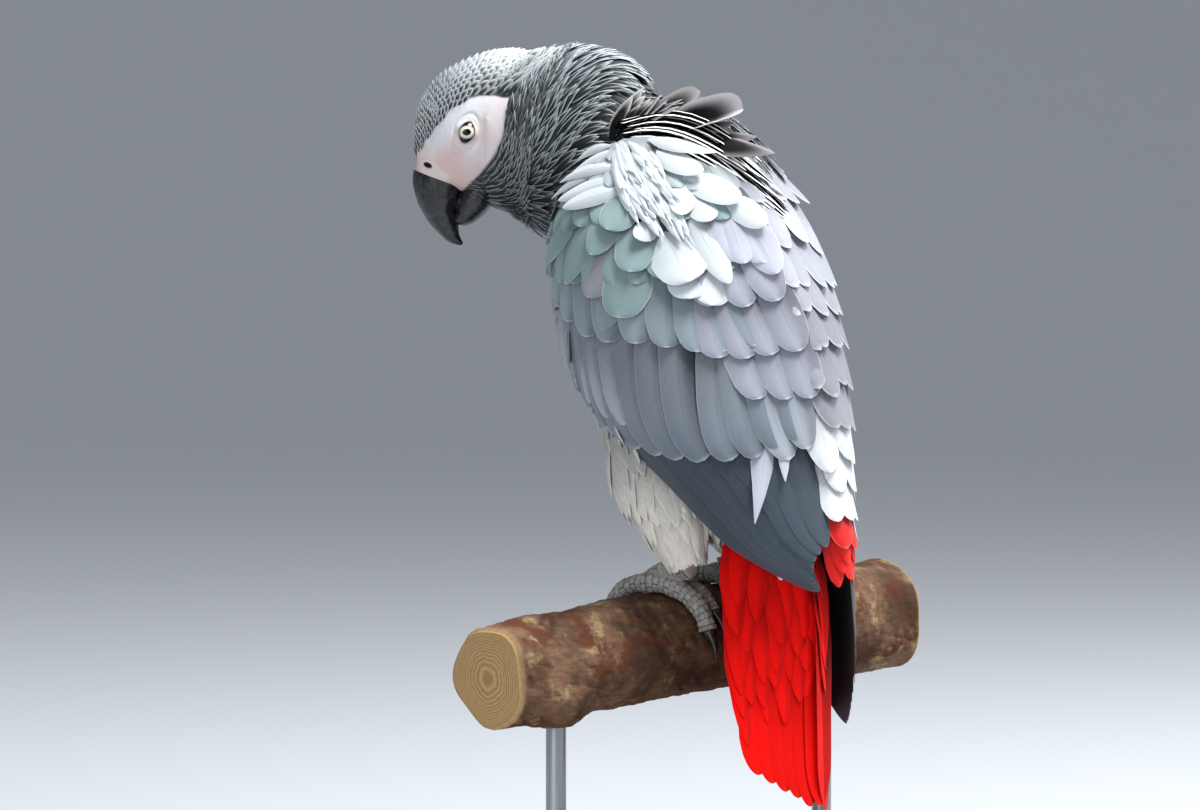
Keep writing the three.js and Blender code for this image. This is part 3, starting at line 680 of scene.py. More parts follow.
# %% Where the face is bare
PATCH_FROM, PATCH_TO = -21.5, 20  # forward of the eye
PATCH_TOP = [1, 6, 9.1, 10.9, 11.2, 10.7, 9.4, 7.8, 6.2]
PATCH_LOW = [-0.5, -4.3, -9.4, -12.8, -14.6, -16, -17, -17.2, -16.5]
NOSTRIL = (20.6, -0.9)  # forward and up
LID_RADIUS = 3.4
EYE_SLANT = np.radians(-36)  # of the lids' opening in the head's frame
ALMOND = (1.22, 0.85, 1.7)  # its length and height as shares of a circle's, and its roundness
NOSTRIL_SLANT, NOSTRIL_LENGTH, NOSTRIL_HEIGHT = np.radians(62), 1.9, 1.05


def face_mask(points, soft=1.2):
    """1 on the bare patch, 0 off it, from the patch's upper and lower outlines in the head's frame."""
    forward, up, left = to_head(points).T
    t = (forward - PATCH_FROM) / (PATCH_TO - PATCH_FROM)
    top, low = run_through(PATCH_TOP, np.clip(t, 0, 1)), run_through(PATCH_LOW, np.clip(t, 0, 1))
    inside = np.minimum(np.minimum(top - up, up - low), forward - PATCH_FROM)
    on_cheek = (np.abs(left) > 3.5) & (forward < 26)
    return ease(inside, -soft / 2, soft / 2) * on_cheek


# %% Finer skin on the face
def split_where(mesh, wanted):
    """Cuts each edge that has both its ends where wanted(points) is true into two."""
    work = bmesh.new()
    work.from_mesh(mesh)
    points = np.array([v.co for v in work.verts]) / MM - BIRD_AT
    chosen = wanted(points)
    edges = [e for e in work.edges if chosen[e.verts[0].index] and chosen[e.verts[1].index]]
    bmesh.ops.subdivide_edges(work, edges=edges, cuts=1, use_grid_fill=True)
    bmesh.ops.triangulate(work, faces=[f for f in work.faces if len(f.verts) > 4])
    work.to_mesh(mesh)
    work.free()


def near_face(points):
    forward, up, left = to_head(points).T
    return (face_mask(points, 6) > 0.05) | ((forward > 12) & (up > -20) & (np.abs(left) < 13))


def near_eye(points):
    forward, up, left = to_head(points).T
    eye = (np.hypot(forward, up) < 8.5) & (np.abs(left) > 12)
    nostril = np.hypot(forward - NOSTRIL[0], up - NOSTRIL[1]) < 4.5
    return eye | nostril


split_where(skin.data, near_face)
split_where(skin.data, near_eye)


def skin_points():
    flat = np.empty(len(skin.data.vertices) * 3, np.float32)
    skin.data.vertices.foreach_get("co", flat)
    return flat.reshape(-1, 3).astype(float) / MM - BIRD_AT


# %% Lids and nostrils
def turned_by(slant, forward, up):
    """A place in the head's side view along and across a direction that slants upwards."""
    return forward * np.cos(slant) + up * np.sin(slant), up * np.cos(slant) - forward * np.sin(slant)


def eye_distance(forward, up):
    """Distance from the eye's axis, in a measure that makes a circle of the lids' opening, an almond
    that slants back and up."""
    along, across = turned_by(EYE_SLANT, forward, up)
    power = ALMOND[2]
    return ((np.abs(along) / ALMOND[0]) ** power + (np.abs(across) / ALMOND[1]) ** power) ** (1 / power)


def shape_face(points):
    """Moves skin points sideways in the head's frame. At distance r in the almond's own measure the lid's
    outer face is the eyeball's height plus a rim of gaussian section. Inside the lid's opening the skin
    drops behind the ball. Each side of the cere has an oval pit with a low rim."""
    forward, up, left = to_head(points).T
    side, out = np.sign(left), np.abs(left)
    r, from_axis = eye_distance(forward, up), np.hypot(forward, up)
    ball = EYE_OUT + np.sqrt(np.clip(EYE_RADIUS**2 - from_axis**2, 0, None))
    rim = bell(r, LID_RADIUS + 0.5, 0.5)
    crease = -0.35 * bell(r, 6.3, 0.6) - 0.25 * bell(r, 8.0 + 0.1 * up, 0.7) * (up < 0)
    near = ease(-from_axis, -7.8, -5.6) * (out > 10)
    lid = np.maximum(out, ball + 0.25) * near + out * (1 - near)
    shaped = lid + (0.26 * rim + crease) * (out > 10)
    shaped = np.where((r < LID_RADIUS) & (out > 10), ball - 1.3, shaped)
    along, across = turned_by(NOSTRIL_SLANT, forward - NOSTRIL[0], up - NOSTRIL[1])
    q = np.hypot(along / NOSTRIL_LENGTH, across / NOSTRIL_HEIGHT)
    on_cere = (forward > 14) & (out > 2)
    pit = (-2.2 * ease(-q, -1.15, -0.55) + 0.35 * bell(q, 1.6, 0.4)) * on_cere
    return in_head(forward, up, side * (shaped + pit)), q


moved, nostril_ring = shape_face(skin_points())
skin.data.vertices.foreach_set("co", ((moved + BIRD_AT) * MM).astype(np.float32).ravel())
skin.data.update()

# %% [markdown]
# ## Colours by place
# One function gives the bird's markings at any point: grey head and neck, white face, darker mantle,
# grey breast fading to a cream belly, white rump, red tail and tail coverts, grey feet. The skin and
# every feather group start from it, so where two feathers part, the skin shows the same colour.

# %% Markings
DYES = {name: paint(code) for name, code in {
    "head": "7f8b90", "neck": "40494d", "mantle": "2b2f34", "breast": "767e82", "belly": "e9e3d9",
    "rump": "eef1f3", "lilac": "bdc0cc", "red": "e61308", "face": "e3dadb", "brow": "dde6ec",
    "lores": "dcb9b4", "foot": "9c9a96", "nostril": "2a1512", "lid": "b3acaa", "lash": "15110f",
    "heel": "c2a497", "cere": "e2d3cf",
}.items()}


def blend(colour, **shares):
    """Mixes dyes into an array of colours one after another, each by its share."""
    for name, share in shares.items():
        share = np.asarray(share, float)[..., None]
        colour = colour * (1 - share) + DYES[name] * share
    return colour


def markings(points):
    """The bird's colours by place."""
    _, y, z = points.T
    forward, up, _ = to_head(points).T
    return blend(
        np.tile(DYES["neck"], (len(points), 1)),
        mantle=ease(y, -30, 5) * ease(z, 140, 170),
        breast=ease(-z, -165, -120) * ease(-y, -25, 5),
        head=ease(up, 2, 16) * ease(forward, -40, -20),
        lilac=ease(-z, -192, -165) * ease(y, 15, 28),
        belly=ease(-z, -112, -70) * ease(-y, -42, -20),
        rump=ease(-z, -92, -66) * ease(y, 20, 42),
        red=np.round(ease(-z, -40, -38) * ease(y, 15, 25)),
    )


def skin_markings(points, nostril):
    """The same, and the bare parts: face, cere, nostrils, lids, heels and feet."""
    forward, up, left = to_head(points).T
    _, y, z = points.T
    face, eye, beside = face_mask(points), eye_distance(forward, up), np.abs(left) > 12
    return blend(
        markings(points) * [0.8, 0.8, 0.8, 1],
        face=face,
        lores=0.85 * face * ease(forward, 2, 14) * ease(-up, -3, 4),
        brow=0.6 * face * ease(up, 0, 6),
        cere=ease(forward, 15.5, 17) * ease(up, -12, -9) * (np.abs(left) < 13),
        lid=0.8 * ease(-eye, -4.6, -4.1) * beside,
        lash=ease(-eye, -3.95, -3.6) * beside,
        nostril=ease(-nostril, -1.1, -0.8) * (forward > 14),
        heel=ease(-z, -42, -36) * ease(-y, -24, -18),
        foot=ease(-z, -31, -28) * ease(-y, -26, -22),
    )


points = skin_points()
bare = np.maximum(face_mask(points), ease(-points[:, 2], -40, -34) * ease(-points[:, 1], -26, -22))
add_attributes(skin.data, {"Dye": skin_markings(points, nostril_ring), "Bare": bare})
skin.data.polygons.foreach_set("use_smooth", np.ones(len(skin.data.polygons), bool))

# %% Skin finish
hide = Finish("skin", Roughness=0.6, Specular_IOR_Level=0.35)
spot = hide.place()
wrinkles = hide.noise(hide.stretched(spot, (1, 1, 1.6)), 900, 4) + hide.cells(spot, 1300) * 0.5
mottle = hide.noise(spot, 170, 3).eased(0.35, 0.7)
flush = hide.mix(mottle * hide.attribute("Bare", "Fac") * 0.14, hide.attribute("Dye"), (0.72, 0.42, 0.40))
hide.set(Base_Color=flush, Normal=hide.bump(wrinkles * hide.attribute("Bare", "Fac"), 0.25, 0.2))
flesh_nodes = ["head", "cere", "neck", "trunk"]
for side in SIDES:
    flesh_nodes += [f"thigh_{side}", f"tarsus_{side}", *(f"toe_{side}_{toe}" for toe in TOES)]
finish_piece(skin, hide.material, "bare_skin", *flesh_nodes)

# %% [markdown]
# ## Eyes
# The eyeball is one closed surface whose front swells into the cornea. Pupil, iris and the dark ring
# where the iris meets the lid follow the angle from the eye's axis, kept as an attribute.


# %% Eyeballs
def eyeball(side, name):
    """A sphere whose radius grows by a smooth bump round its axis; polar runs from the front to the back.
    The Polar attribute is stretched along the lids' slant, so that iris and pupil are a little oval."""
    polar, turn = np.linspace(0.02, np.pi - 0.02, 60), circle(64)
    p, a = np.meshgrid(polar, turn, indexing="ij")
    radius = EYE_RADIUS + 0.35 * bell(p, 0, 0.5)
    off_axis, out = radius * np.sin(p), EYE_OUT + radius * np.cos(p)
    rings = in_head(off_axis * np.cos(a), off_axis * np.sin(a), side * out)
    points, faces = capped_tube(rings if side < 0 else rings[:, ::-1])
    oval = np.hypot(np.cos(a - EYE_SLANT) / 1.13, np.sin(a - EYE_SLANT) / 0.87)
    angle = np.concatenate([(p * oval).ravel(), [0, np.pi]])
    return make_mesh(name, points, faces, attributes={"Polar": angle})


glaze = Finish("eye", Roughness=0.08, Coat_Weight=0.3, Coat_Roughness=0.02, Specular_IOR_Level=0.2)
polar = glaze.attribute("Polar", "Fac")
fibres = glaze.noise(glaze.place(), 1500, 3)
iris = glaze.mix(polar.eased(0.40, 0.56), paint("f0edd8"), paint("949b85"))
iris = glaze.mix(fibres.eased(0.4, 0.75) * 0.35, iris, paint("b5ae88"))
pupil = glaze.mix(polar.eased(0.255, 0.29), paint("010101"), iris)
glaze.set(Base_Color=glaze.mix(polar.eased(0.56, 0.61), pupil, paint("14100e")))
for name, side in SIDES.items():
    finish_piece(eyeball(side, f"eyeball_{name}"), glaze.material, "eye", f"eye_{name}")

# %% [markdown]
# ## Bill
# Both halves are horn shells swept along curved paths. The upper one hooks over the lower, with a ridge
# along the culmen, growth lines across it and a notch in its cutting edge. The horn is worn pale in
# patches.


# %% Bill shells
def bill_shell(name, stations, start, ridge, notch):
    """bill_at with a gaussian ridge along the culmen, a wave of growth lines, and a notch in the edge."""
    t, turn = np.meshgrid(np.linspace(start, 1, 150), circle(96), indexing="ij")
    off_culmen = np.angle(np.exp(1j * (turn - np.pi / 2)))
    off_edge = np.angle(np.exp(1j * (turn + np.pi / 2)))
    grow = ridge * bell(off_culmen, 0, 0.28) * (1 - t)
    grow += 0.05 * np.sin(90 * t + 2 * np.sin(3 * turn)) * (1 - t)
    grow -= notch * bell(t, 0.52, 0.06) * bell(off_edge, 0, 1.2)
    grow += 0.06 * np.sin(turn * 7 + 13 * t) * np.sin(31 * t) * (1 - t)
    points, faces = capped_tube(bill_at(stations, t, turn, grow)[:, ::-1])
    share = np.concatenate([t.ravel(), [start, 1]])
    edge = np.concatenate([np.abs(off_edge).ravel(), [np.pi, 0]])
    return make_mesh(name, points, faces, attributes={"Share": share, "FromEdge": edge})


horn = Finish("horn", Roughness=0.3, Specular_IOR_Level=0.55)
spot = horn.place()
streaks = horn.noise(horn.stretched(spot, (1, 1, 0.35)), 900, 4)
worn = horn.noise(spot, 260, 4).eased(0.5, 0.78)
black = horn.mix(streaks.eased(0.4, 0.7) * 0.5, paint("17181a"), paint("33353a"))
dusty = horn.mix(worn * 0.55, black, paint("5c5d60"))
horn.set(Base_Color=dusty, Roughness=0.26 + worn * 0.3, Normal=horn.bump(streaks, 0.25, 0.12))
upper_bill = bill_shell("upper_bill", UPPER_BILL, CERE_ENDS - 0.03, 0.7, 0.8)
lower_bill = bill_shell("lower_bill", LOWER_BILL, 0.0, 0.2, 0.0)
finish_piece(upper_bill, horn.material, "horn_black", "bill_upper")
finish_piece(lower_bill, horn.material, "horn_black", "bill_lower")

# %% [markdown]
# ## Feathers
# A vane is a thin closed lens: a middle line that follows the surface below it from root to tip, a width
# that swells and closes in a rounded or pointed tip, a dome across it, and a keel underneath. All the
# vanes of a group are worked out together, as one array. They root at the skin and rise a little towards
# their tips, so each row lies over the next, as on a bird. Each vane also knows where it is on itself
# (the `Vane` map) and its colour (`Dye`, whose alpha says how pale its edge is).


# %% A vane's outline and faces
def outline(u, shoulder, bluntness, base=0.35):
    """A vane's half width: an eased rise from base, then a superellipse from the shoulder to the tip."""
    s = np.clip((u - shoulder) / (1 - shoulder), 0, 1)
    return (base + (1 - base) * ease(u, 0, 0.45)) * (1 - s**bluntness) ** (1 / bluntness)


def vane_faces(rows, columns):
    """The lens's triangles and quads: upper grid, under sides to the keel, and a fan at root and tip."""
    root, tip = 0, 1
    top = 2 + np.arange(rows * columns).reshape(rows, columns)
    keel = 2 + rows * columns + np.arange(rows)
    left, right, first, last = top[:, 0], top[:, -1], top[0], top[-1]
    quads = [
        grid_faces(rows, columns) + 2,
        np.stack([left[:-1], left[1:], keel[1:], keel[:-1]], -1),
        np.stack([keel[:-1], keel[1:], right[1:], right[:-1]], -1),
    ]
    fans = [
        np.stack([np.full(columns - 1, root), first[1:], first[:-1]], -1),
        np.stack([last[:-1], last[1:], np.full(columns - 1, tip)], -1),
        [
            [root, left[0], keel[0]], [root, keel[0], right[0]], [left[-1], tip, keel[-1]],
            [keel[-1], tip, right[-1]],
        ],
    ]
    return np.concatenate(quads), np.concatenate(fans)


# %% A coat of vanes
SMALL_PATCH = np.array([0.003, 0.003])  # a small feather's size on the bake map
GRID_PATCH = np.array([0.86, 0.92])  # a large one's, as shares of its cell


class Coat:
    """Groups of vanes that become one piece. Each vane's patch of the bake map lies at its root's place on
    the unwrap of the surface below, or for large feathers in a cell of a grid, in the roots' order."""

    def __init__(self, name, grid=False):
        self.name, self.grid, self.points, self.quads, self.fans = name, grid, [], [], []
        self.vane, self.owner, self.spots, self.dye = [], [], [], []
        self.corner_count = self.vane_count = 0

    def add(
        self, lie, root, tip, width, dye, *, rows, columns, low, high, cup, curl=0.0, roll=0.0, sweep=0.0,
        shoulder=0.5, bluntness=2.0, base=0.35, ragged=0.05, thick=0.25, spots=None, tip_dye=None,
        mirror=False,
    ):
        """Vanes from root to tip, both (n, 2) places on lie. low and high are the heights of root and tip,
        cup bends the sides down, curl lifts the tip further, roll tilts the vane about its length, sweep
        bends it sideways. mirror swaps the two sides of the Vane map. A vane that would cross a fold of the
        surface is left out."""
        n = len(root)
        column = lambda value: np.broadcast_to(np.asarray(value, float), (n,))[:, None]
        v = np.linspace(-1, 1, columns)
        crowding = 1.5 if rows < 8 else 1.9  # of the rows towards the tip
        inner = 1 - (1 - np.linspace(0, 1, rows + 2)[1:-1]) ** crowding
        u = np.concatenate([[0], inner, [1]])
        places = root[:, None] + (tip - root)[:, None] * u[None, :, None]
        middle = lie.at(places[..., 0], places[..., 1])
        outward = lie.normal(places[..., 0], places[..., 1])
        beside = unit(np.cross(unit(np.gradient(middle, axis=1)), outward))
        lift = column(low) + (column(high) - column(low)) * u**1.2 + column(curl) * u**3
        middle = middle + outward * lift[..., None] + beside * (column(sweep) * u**2)[..., None]
        half = column(width) / 2 * outline(u, column(shoulder), column(bluntness), base)
        fray = 1 + ragged * rng.uniform(-1, 1, (n, rows, 2))
        frayed = np.where(v[None, None] < 0, fray[..., :1], fray[..., 1:])
        x = half[:, 1:-1, None] * v * frayed
        dome = column(roll)[..., None] * x - column(cup)[..., None] * half[:, 1:-1, None] * v**2
        inside = (slice(None), slice(1, -1), None)
        top = middle[inside] + beside[inside] * x[..., None] + outward[inside] * dome[..., None]
        keel = middle[:, 1:-1] - outward[:, 1:-1] * thick
        pace = np.linalg.norm(np.diff(middle, axis=1), axis=-1) / np.diff(u)
        smooth = pace.max(1) < 2.4 * np.median(pace)
        points = np.concatenate([middle[:, :1], middle[:, -1:], top.reshape(n, -1, 3), keel], 1)[smooth]
        ends = dye if tip_dye is None else tip_dye
        dye, ends, n = dye[smooth], ends[smooth], len(points)
        self.points.append(points.reshape(-1, 3))
        self.spots.append((root if spots is None else spots)[smooth])
        per_vane = points.shape[1]
        shift = self.corner_count + per_vane * np.arange(n)[:, None, None]
        quads, fans = vane_faces(rows, columns)
        self.quads.append((quads[None] + shift).reshape(-1, 4))
        self.fans.append((fans[None] + shift).reshape(-1, 3))
        across = np.concatenate([[0, 0], np.tile(v, rows), np.zeros(rows)])
        along = np.concatenate([[0, 1], np.repeat(inner, columns), inner])
        flip = -1 if mirror else 1
        self.vane.append(np.tile(np.stack([0.5 + 0.5 * flip * across, along], -1), (n, 1)))
        self.owner.append(np.repeat(self.vane_count + np.arange(n), per_vane))
        self.dye.append((dye[:, None] + (ends - dye)[:, None] * along[None, :, None]).reshape(-1, 4))
        self.corner_count += n * per_vane
        self.vane_count += n

    def bake_map(self):
        """Each corner's place on the bake map."""
        spots, owner = np.concatenate(self.spots), np.concatenate(self.owner)
        size = SMALL_PATCH
        if self.grid:
            columns = int(np.ceil(np.sqrt(2 * len(spots))))
            lines = int(np.ceil(len(spots) / columns))
            order = np.empty(len(spots), int)
            order[np.lexsort((spots[:, 1], np.round(spots[:, 0], 1)))] = np.arange(len(spots))
            spots = np.stack([(order % columns + 0.5) / columns, (order // columns + 0.5) / lines], -1)
            size = GRID_PATCH / [columns, lines]
        return spots[owner] + (np.concatenate(self.vane) - 0.5) * size

    def build(self, material, slot, *nodes):
        faces = [np.concatenate(self.quads), np.concatenate(self.fans)]
        uvs = {"Vane": np.concatenate(self.vane), "OFBake": self.bake_map()}
        dye = {"Dye": np.concatenate(self.dye)}
        piece = make_mesh(self.name, np.concatenate(self.points), faces, uvs, dye, crease=np.radians(50))
        print(f"{self.name}: {self.vane_count} vanes, {2 * len(faces[0]) + len(faces[1])} triangles")
        return finish_piece(piece, material, slot, *nodes)


# %% Where feathers root and end
def read(value, place):
    """A number as it is, or what a function says for a place."""
    return value(place) if callable(value) else value


def covering(lie, p_from, p_to, pitch_p, pitch_q, q_from=0.0, q_to=2 * np.pi):
    """Rows of places over a surface, a pitch apart in mm, every second row shifted by half a place.
    A pitch is a number or a function of p."""
    places, p, row = [], p_from, 0
    q = np.linspace(q_from, q_to, 65)
    while p < p_to:
        here = np.full(len(q), p)
        along, across = lie.tangents(here, q)
        run = np.concatenate([[0], np.cumsum(np.linalg.norm(across, axis=-1)[:-1] * np.diff(q))])
        count = max(1, round(run[-1] / read(pitch_q, p)))
        wanted = (np.arange(count) + 0.5 * (row % 2)) / count * run[-1]
        places.append(np.stack([np.full(count, p), np.interp(wanted, run, q)], -1))
        p += read(pitch_p, p) / np.linalg.norm(along, axis=-1).mean()
        row += 1
    return np.concatenate(places)


def reach(lie, root, length, slant=0.0, sense=-1):
    """The place a feather's length away from its root: along p in that sense, turned by slant towards
    growing q. A second step corrects the first, and a place past a fold of the surface is pulled back."""
    length, slant = (np.broadcast_to(np.asarray(a, float), (len(root),))[:, None] for a in (length, slant))
    place = root
    for _ in range(2):
        along, across = lie.tangents(*place.T)
        straight = unit(along) * sense
        sideways = across - straight * (across * straight).sum(-1, keepdims=True)
        goal = straight * np.cos(slant) + unit(sideways) * np.sin(slant)
        aa, ab, bb = ((m * n).sum(-1) for m, n in ((along, along), (along, across), (across, across)))
        ga, gb = (goal * along).sum(-1), (goal * across).sum(-1)
        step = np.stack([bb * ga - ab * gb, aa * gb - ab * ga], -1) / (aa * bb - ab**2)[:, None]
        most = 1.2 / np.sqrt(np.stack([aa, bb], -1))
        step = np.clip(step, -most, most)
        place = root + step * length / 2
    tip = root + step * length
    run = np.linalg.norm(lie.at(*tip.T) - lie.at(*root.T), axis=-1, keepdims=True)
    return root + step * length * np.minimum(1, 1.3 * length / run)


def jitter(places, lie, amount):
    """Moves places by up to that many mm each way along the surface."""
    along, across = lie.tangents(*places.T)
    scale = np.stack([np.linalg.norm(along, axis=-1), np.linalg.norm(across, axis=-1)], -1)
    return places + rng.uniform(-1, 1, places.shape) * amount / scale


def tone(dye, spread=0.12):
    """Each feather a little lighter or darker than its neighbours."""
    out = np.array(dye, float)
    out[:, :3] *= 1 + rng.uniform(-spread, spread, (len(out), 1))
    return out


def with_rim(dye, rim):
    """The colours with the paleness of their edges in the alpha."""
    out = np.array(dye, float)
    out[:, 3] = rim
    return out


def dyed(name, count, rim):
    return with_rim(np.tile(DYES[name], (count, 1)), rim)


# %% [markdown]
# ## Plumage finish
# Every feather has a shaft line, barbs that run out from it in fine streaks, and an edge that may be
# paler than its middle. The three come from the `Vane` map, so they sit right on every vane whatever its
# size or turn. From the same map, painted shade darkens a vane's root and its covered side.


# %% Plumage finish
def plumage(name, edge, roughness=0.62, barbs=0.1, barb_count=26, rim=(3, 9), rim_from=0.5, rim_whole=0.97,
            shaft=0.1, painted_root_shadow=0.0, painted_tuck_shadow=0.0, sheen=0.12):
    """edge is the rim's colour, barb_count the streaks along a vane, rim the powers that narrow it at the
    sides and the tip, rim_from and rim_whole where it starts and is whole. The two darkenings, at the root
    and on the covered side, are painted shade where the next row and the next feather shadow the vane."""
    look = Finish(
        f"plumage_{name}", Roughness=roughness, Specular_IOR_Level=2.5 * sheen, Sheen_Weight=sheen,
        Sheen_Roughness=0.5,
    )
    uv = look.node("ShaderNodeUVMap", {"uv_map": "Vane"})
    x, y = (look.node("ShaderNodeSeparateXYZ", {}, (uv,), k) for k in (0, 1))
    side = abs(x * 2 - 1)
    spot = look.place()
    barb_place = look.node(
        "ShaderNodeCombineXYZ", {}, (y * barb_count - side * barb_count * 0.18, x * 2.2, 0.0)
    )
    fixed = look.node(
        "ShaderNodeVectorMath", {"operation": "ADD"}, (barb_place, look.stretched(spot, (90, 90, 90)))
    )
    streak = look.noise(fixed, 1.0, 2)
    edge_share = (1 - (1 - side ** rim[0]) * (1 - y ** rim[1])).eased(rim_from, rim_whole)
    dye = look.attribute("Dye")
    pale = edge_share * look.attribute("Dye", "Alpha")
    mottle = look.noise(spot, 60, 3)
    # Barbs and mottle are the vane's own; the darkening towards the root and on the covered side is painted
    # shade.
    barbs_mottle_and_painted_shade = 1 - (streak.eased(0.3, 0.75) * barbs + (mottle - 0.5) * 0.2) - y.eased(0.85, 0.35) * painted_root_shadow
    barbs_mottle_and_painted_shade = barbs_mottle_and_painted_shade - x.eased(0.62, 0.2) * painted_tuck_shadow
    middle = look.mix(1.0, dye, look.node("ShaderNodeCombineColor", {}, (barbs_mottle_and_painted_shade, barbs_mottle_and_painted_shade, barbs_mottle_and_painted_shade)), "MULTIPLY")
    line = (1 - side).eased(0.90, 0.985) * (1 - y**3)
    coloured = look.mix(pale, middle, paint(edge))
    coloured = look.mix(line * shaft, coloured, paint("20242a"))
    height = streak * barbs * 2 + line * 0.6 - side**6 * 0.3
    return look.set(Base_Color=coloured, Normal=look.bump(height, 0.4, 0.25))


head_plumage = plumage("head", "f1f6f7", rim=(1.7, 2.8), rim_from=0.12, shaft=0.0)
hackle_plumage = plumage(
    "hackle", "d3dde0", barbs=0.12, rim=(1.9, 5), rim_from=0.25, shaft=0.4, painted_root_shadow=0.5
)
stripe_plumage = plumage(
    "stripe", "ffffff", roughness=0.6, barb_count=60, rim=(2.8, 9), rim_from=0.2, rim_whole=0.5, sheen=0.0
)
ruffle_plumage = plumage(
    "ruffle", "cdc8ca", barbs=0.15, barb_count=40, rim=(2.4, 3), rim_from=0.3, shaft=0.25, painted_root_shadow=0.7,
    sheen=0.03,
)
white_plumage = plumage(
    "white", "ffffff", roughness=0.6, barbs=0.05, barb_count=80, rim=(14, 22), shaft=0.08, painted_root_shadow=0.15,
    painted_tuck_shadow=0.12,
)
mantle_plumage = plumage("mantle", "eef3f5", barb_count=60, rim=(5, 12), rim_from=0.45, painted_root_shadow=0.35)
covert_plumage = plumage(
    "covert", "f2f6f8", roughness=0.6, barbs=0.07, barb_count=80, rim=(14, 22), shaft=0.12, painted_root_shadow=0.35,
    painted_tuck_shadow=0.45,
)
slate_plumage = plumage(
    "slate", "8b97a1", roughness=0.52, barbs=0.06, barb_count=110, rim=(16, 30), shaft=0.12, painted_root_shadow=0.2,
    painted_tuck_shadow=0.2,
)
pale_plumage = plumage(
    "pale", "fbf8f3", roughness=0.75, barbs=0.16, barb_count=34, shaft=0.06, painted_root_shadow=0.3
)
red_plumage = plumage(
    "red", "ff3414", roughness=0.5, barbs=0.08, barb_count=90, rim=(12, 20), shaft=0.2, painted_root_shadow=0.45,
    painted_tuck_shadow=0.45, sheen=0.03,
)
red_down = plumage(
    "red_down", "ff3414", roughness=0.6, barbs=0.14, barb_count=60, rim=(12, 20), shaft=0.05,
    painted_root_shadow=0.4, painted_tuck_shadow=0.3, sheen=0.03,
)

# %% [markdown]
# ## Head feathers
# They are the smallest: scales on the forehead and crown, with dark middles and pale edges that make a
# fine net, growing longer towards the nape. On the cheeks they are narrow and sweep up and back. Where
# the skull runs into the neck, its feathers are pushed out so that they lie over the neck's. Feathers
# that would crowd each other there, or end on the bare face, are left out.


# %% The head's surface, kept outside the neck
NECK_STEPS = np.linspace(0.62, 1.0, 60)


def clear_of_neck(points):
    """Pushes points that are inside the neck out to its surface, across its spine."""
    centre, heading, left, back = spine_frame(NECK_STEPS)
    flat = points.reshape(-1, 3)
    nearest = np.abs(((flat[:, None] - centre) * heading).sum(-1)).argmin(1)
    away = flat - centre[nearest]
    sideways, high = (away * left[nearest]).sum(-1), (away * back[nearest]).sum(-1)
    t = NECK_STEPS[nearest]
    side, dorsal, ventral = (run_through(v, t) for v in (TO_SIDE, TO_BACK, TO_BELLY))
    depth = np.hypot(sideways / side, high / np.where(high > 0, dorsal, ventral))
    beyond = (away * heading[nearest]).sum(-1) > 1.0
    factor = np.where((depth < 1) & ~beyond, 1 / np.maximum(depth, 0.2) - 1, 0)
    push = (left[nearest] * sideways[:, None] + back[nearest] * high[:, None]) * factor[:, None]
    return (flat + push).reshape(points.shape)


def from_skull_axis(t, turn):
    """The direction away from the skull's own axis."""
    _, crown, throat, wide = np.moveaxis(run_through(SKULL, t), -1, 0)
    return unit(np.sin(turn)[..., None] / ((crown - throat) / 2)[..., None] * HEAD_UP
                + np.cos(turn)[..., None] / wide[..., None] * HEAD_LEFT)


head_lie = Lie(lambda t, turn: clear_of_neck(skull_at(t, turn)), -1, from_skull_axis)


def in_margin(shares):
    """Shares from 0 to 1 as places on the bake map, inside a small margin."""
    return 0.02 + 0.96 * shares


def unwrapped(places):
    """Places on a ring surface as places on its unwrap: round it, then along it."""
    return in_margin(np.stack([np.mod(places[:, 1] / (2 * np.pi), 1), np.clip(places[:, 0], 0, 1)], -1))


# %% Head coat
head_coat = Coat("coat_head")
crown_pitch = lambda t: 1.9 + 1.2 * ease(-t, -0.75, -0.25)
roots = jitter(
    covering(head_lie, 0.13, 0.985, lambda t: 0.95 * crown_pitch(t), crown_pitch), head_lie, 0.35
)
at = head_lie.at(*roots.T)
forward, up, left = to_head(at).T
under_bill = (forward > 7) & (up < -17) & (np.abs(left) < 8.5)
behind_cere = (forward > 15.5) & (up < 5.2) & (up > -20) & (np.abs(left) < 11.5)
pushed = np.linalg.norm(at - skull_at(*roots.T), axis=-1)
roots = roots[(face_mask(at, 0.6) < 0.5) & ~under_bill & ~behind_cere & ((pushed < 1.0) | (up < 5))]
at = head_lie.at(*roots.T)
forward, up, left = to_head(at).T
by_face = face_mask(at, 8) * 2
size = crown_pitch(roots[:, 0]) * (1 - 0.35 * by_face)
cheek = ease(-up, -4, 8)
sweep_up = np.radians(38) * cheek * np.cos(roots[:, 1]) * ease(-forward, -20, 5)
length = size * (2.1 + 1.3 * ease(-roots[:, 0], -0.55, -0.2) + 0.7 * cheek)
tips = reach(head_lie, roots, length, sweep_up + rng.normal(0, 0.06, len(roots)))
tip_at = head_lie.at(*tips.T)
real = np.linalg.norm(tip_at - at, axis=-1) / length
near = np.linalg.norm(at[:, None] - at, axis=-1) < 0.28 * size[:, None]
kept = (real > 0.6) & (real < 1.25) & ~np.tril(near, -1).any(1) & (face_mask(tip_at, 0.6) < 0.5)
print("head feathers", kept.sum(), "left out where the surface folds", (~kept).sum())
roots, tips, at, size, by_face, cheek = (v[kept] for v in (roots, tips, at, size, by_face, cheek))
forward, up, left = to_head(at).T
crown = ease(up, 6, 20)
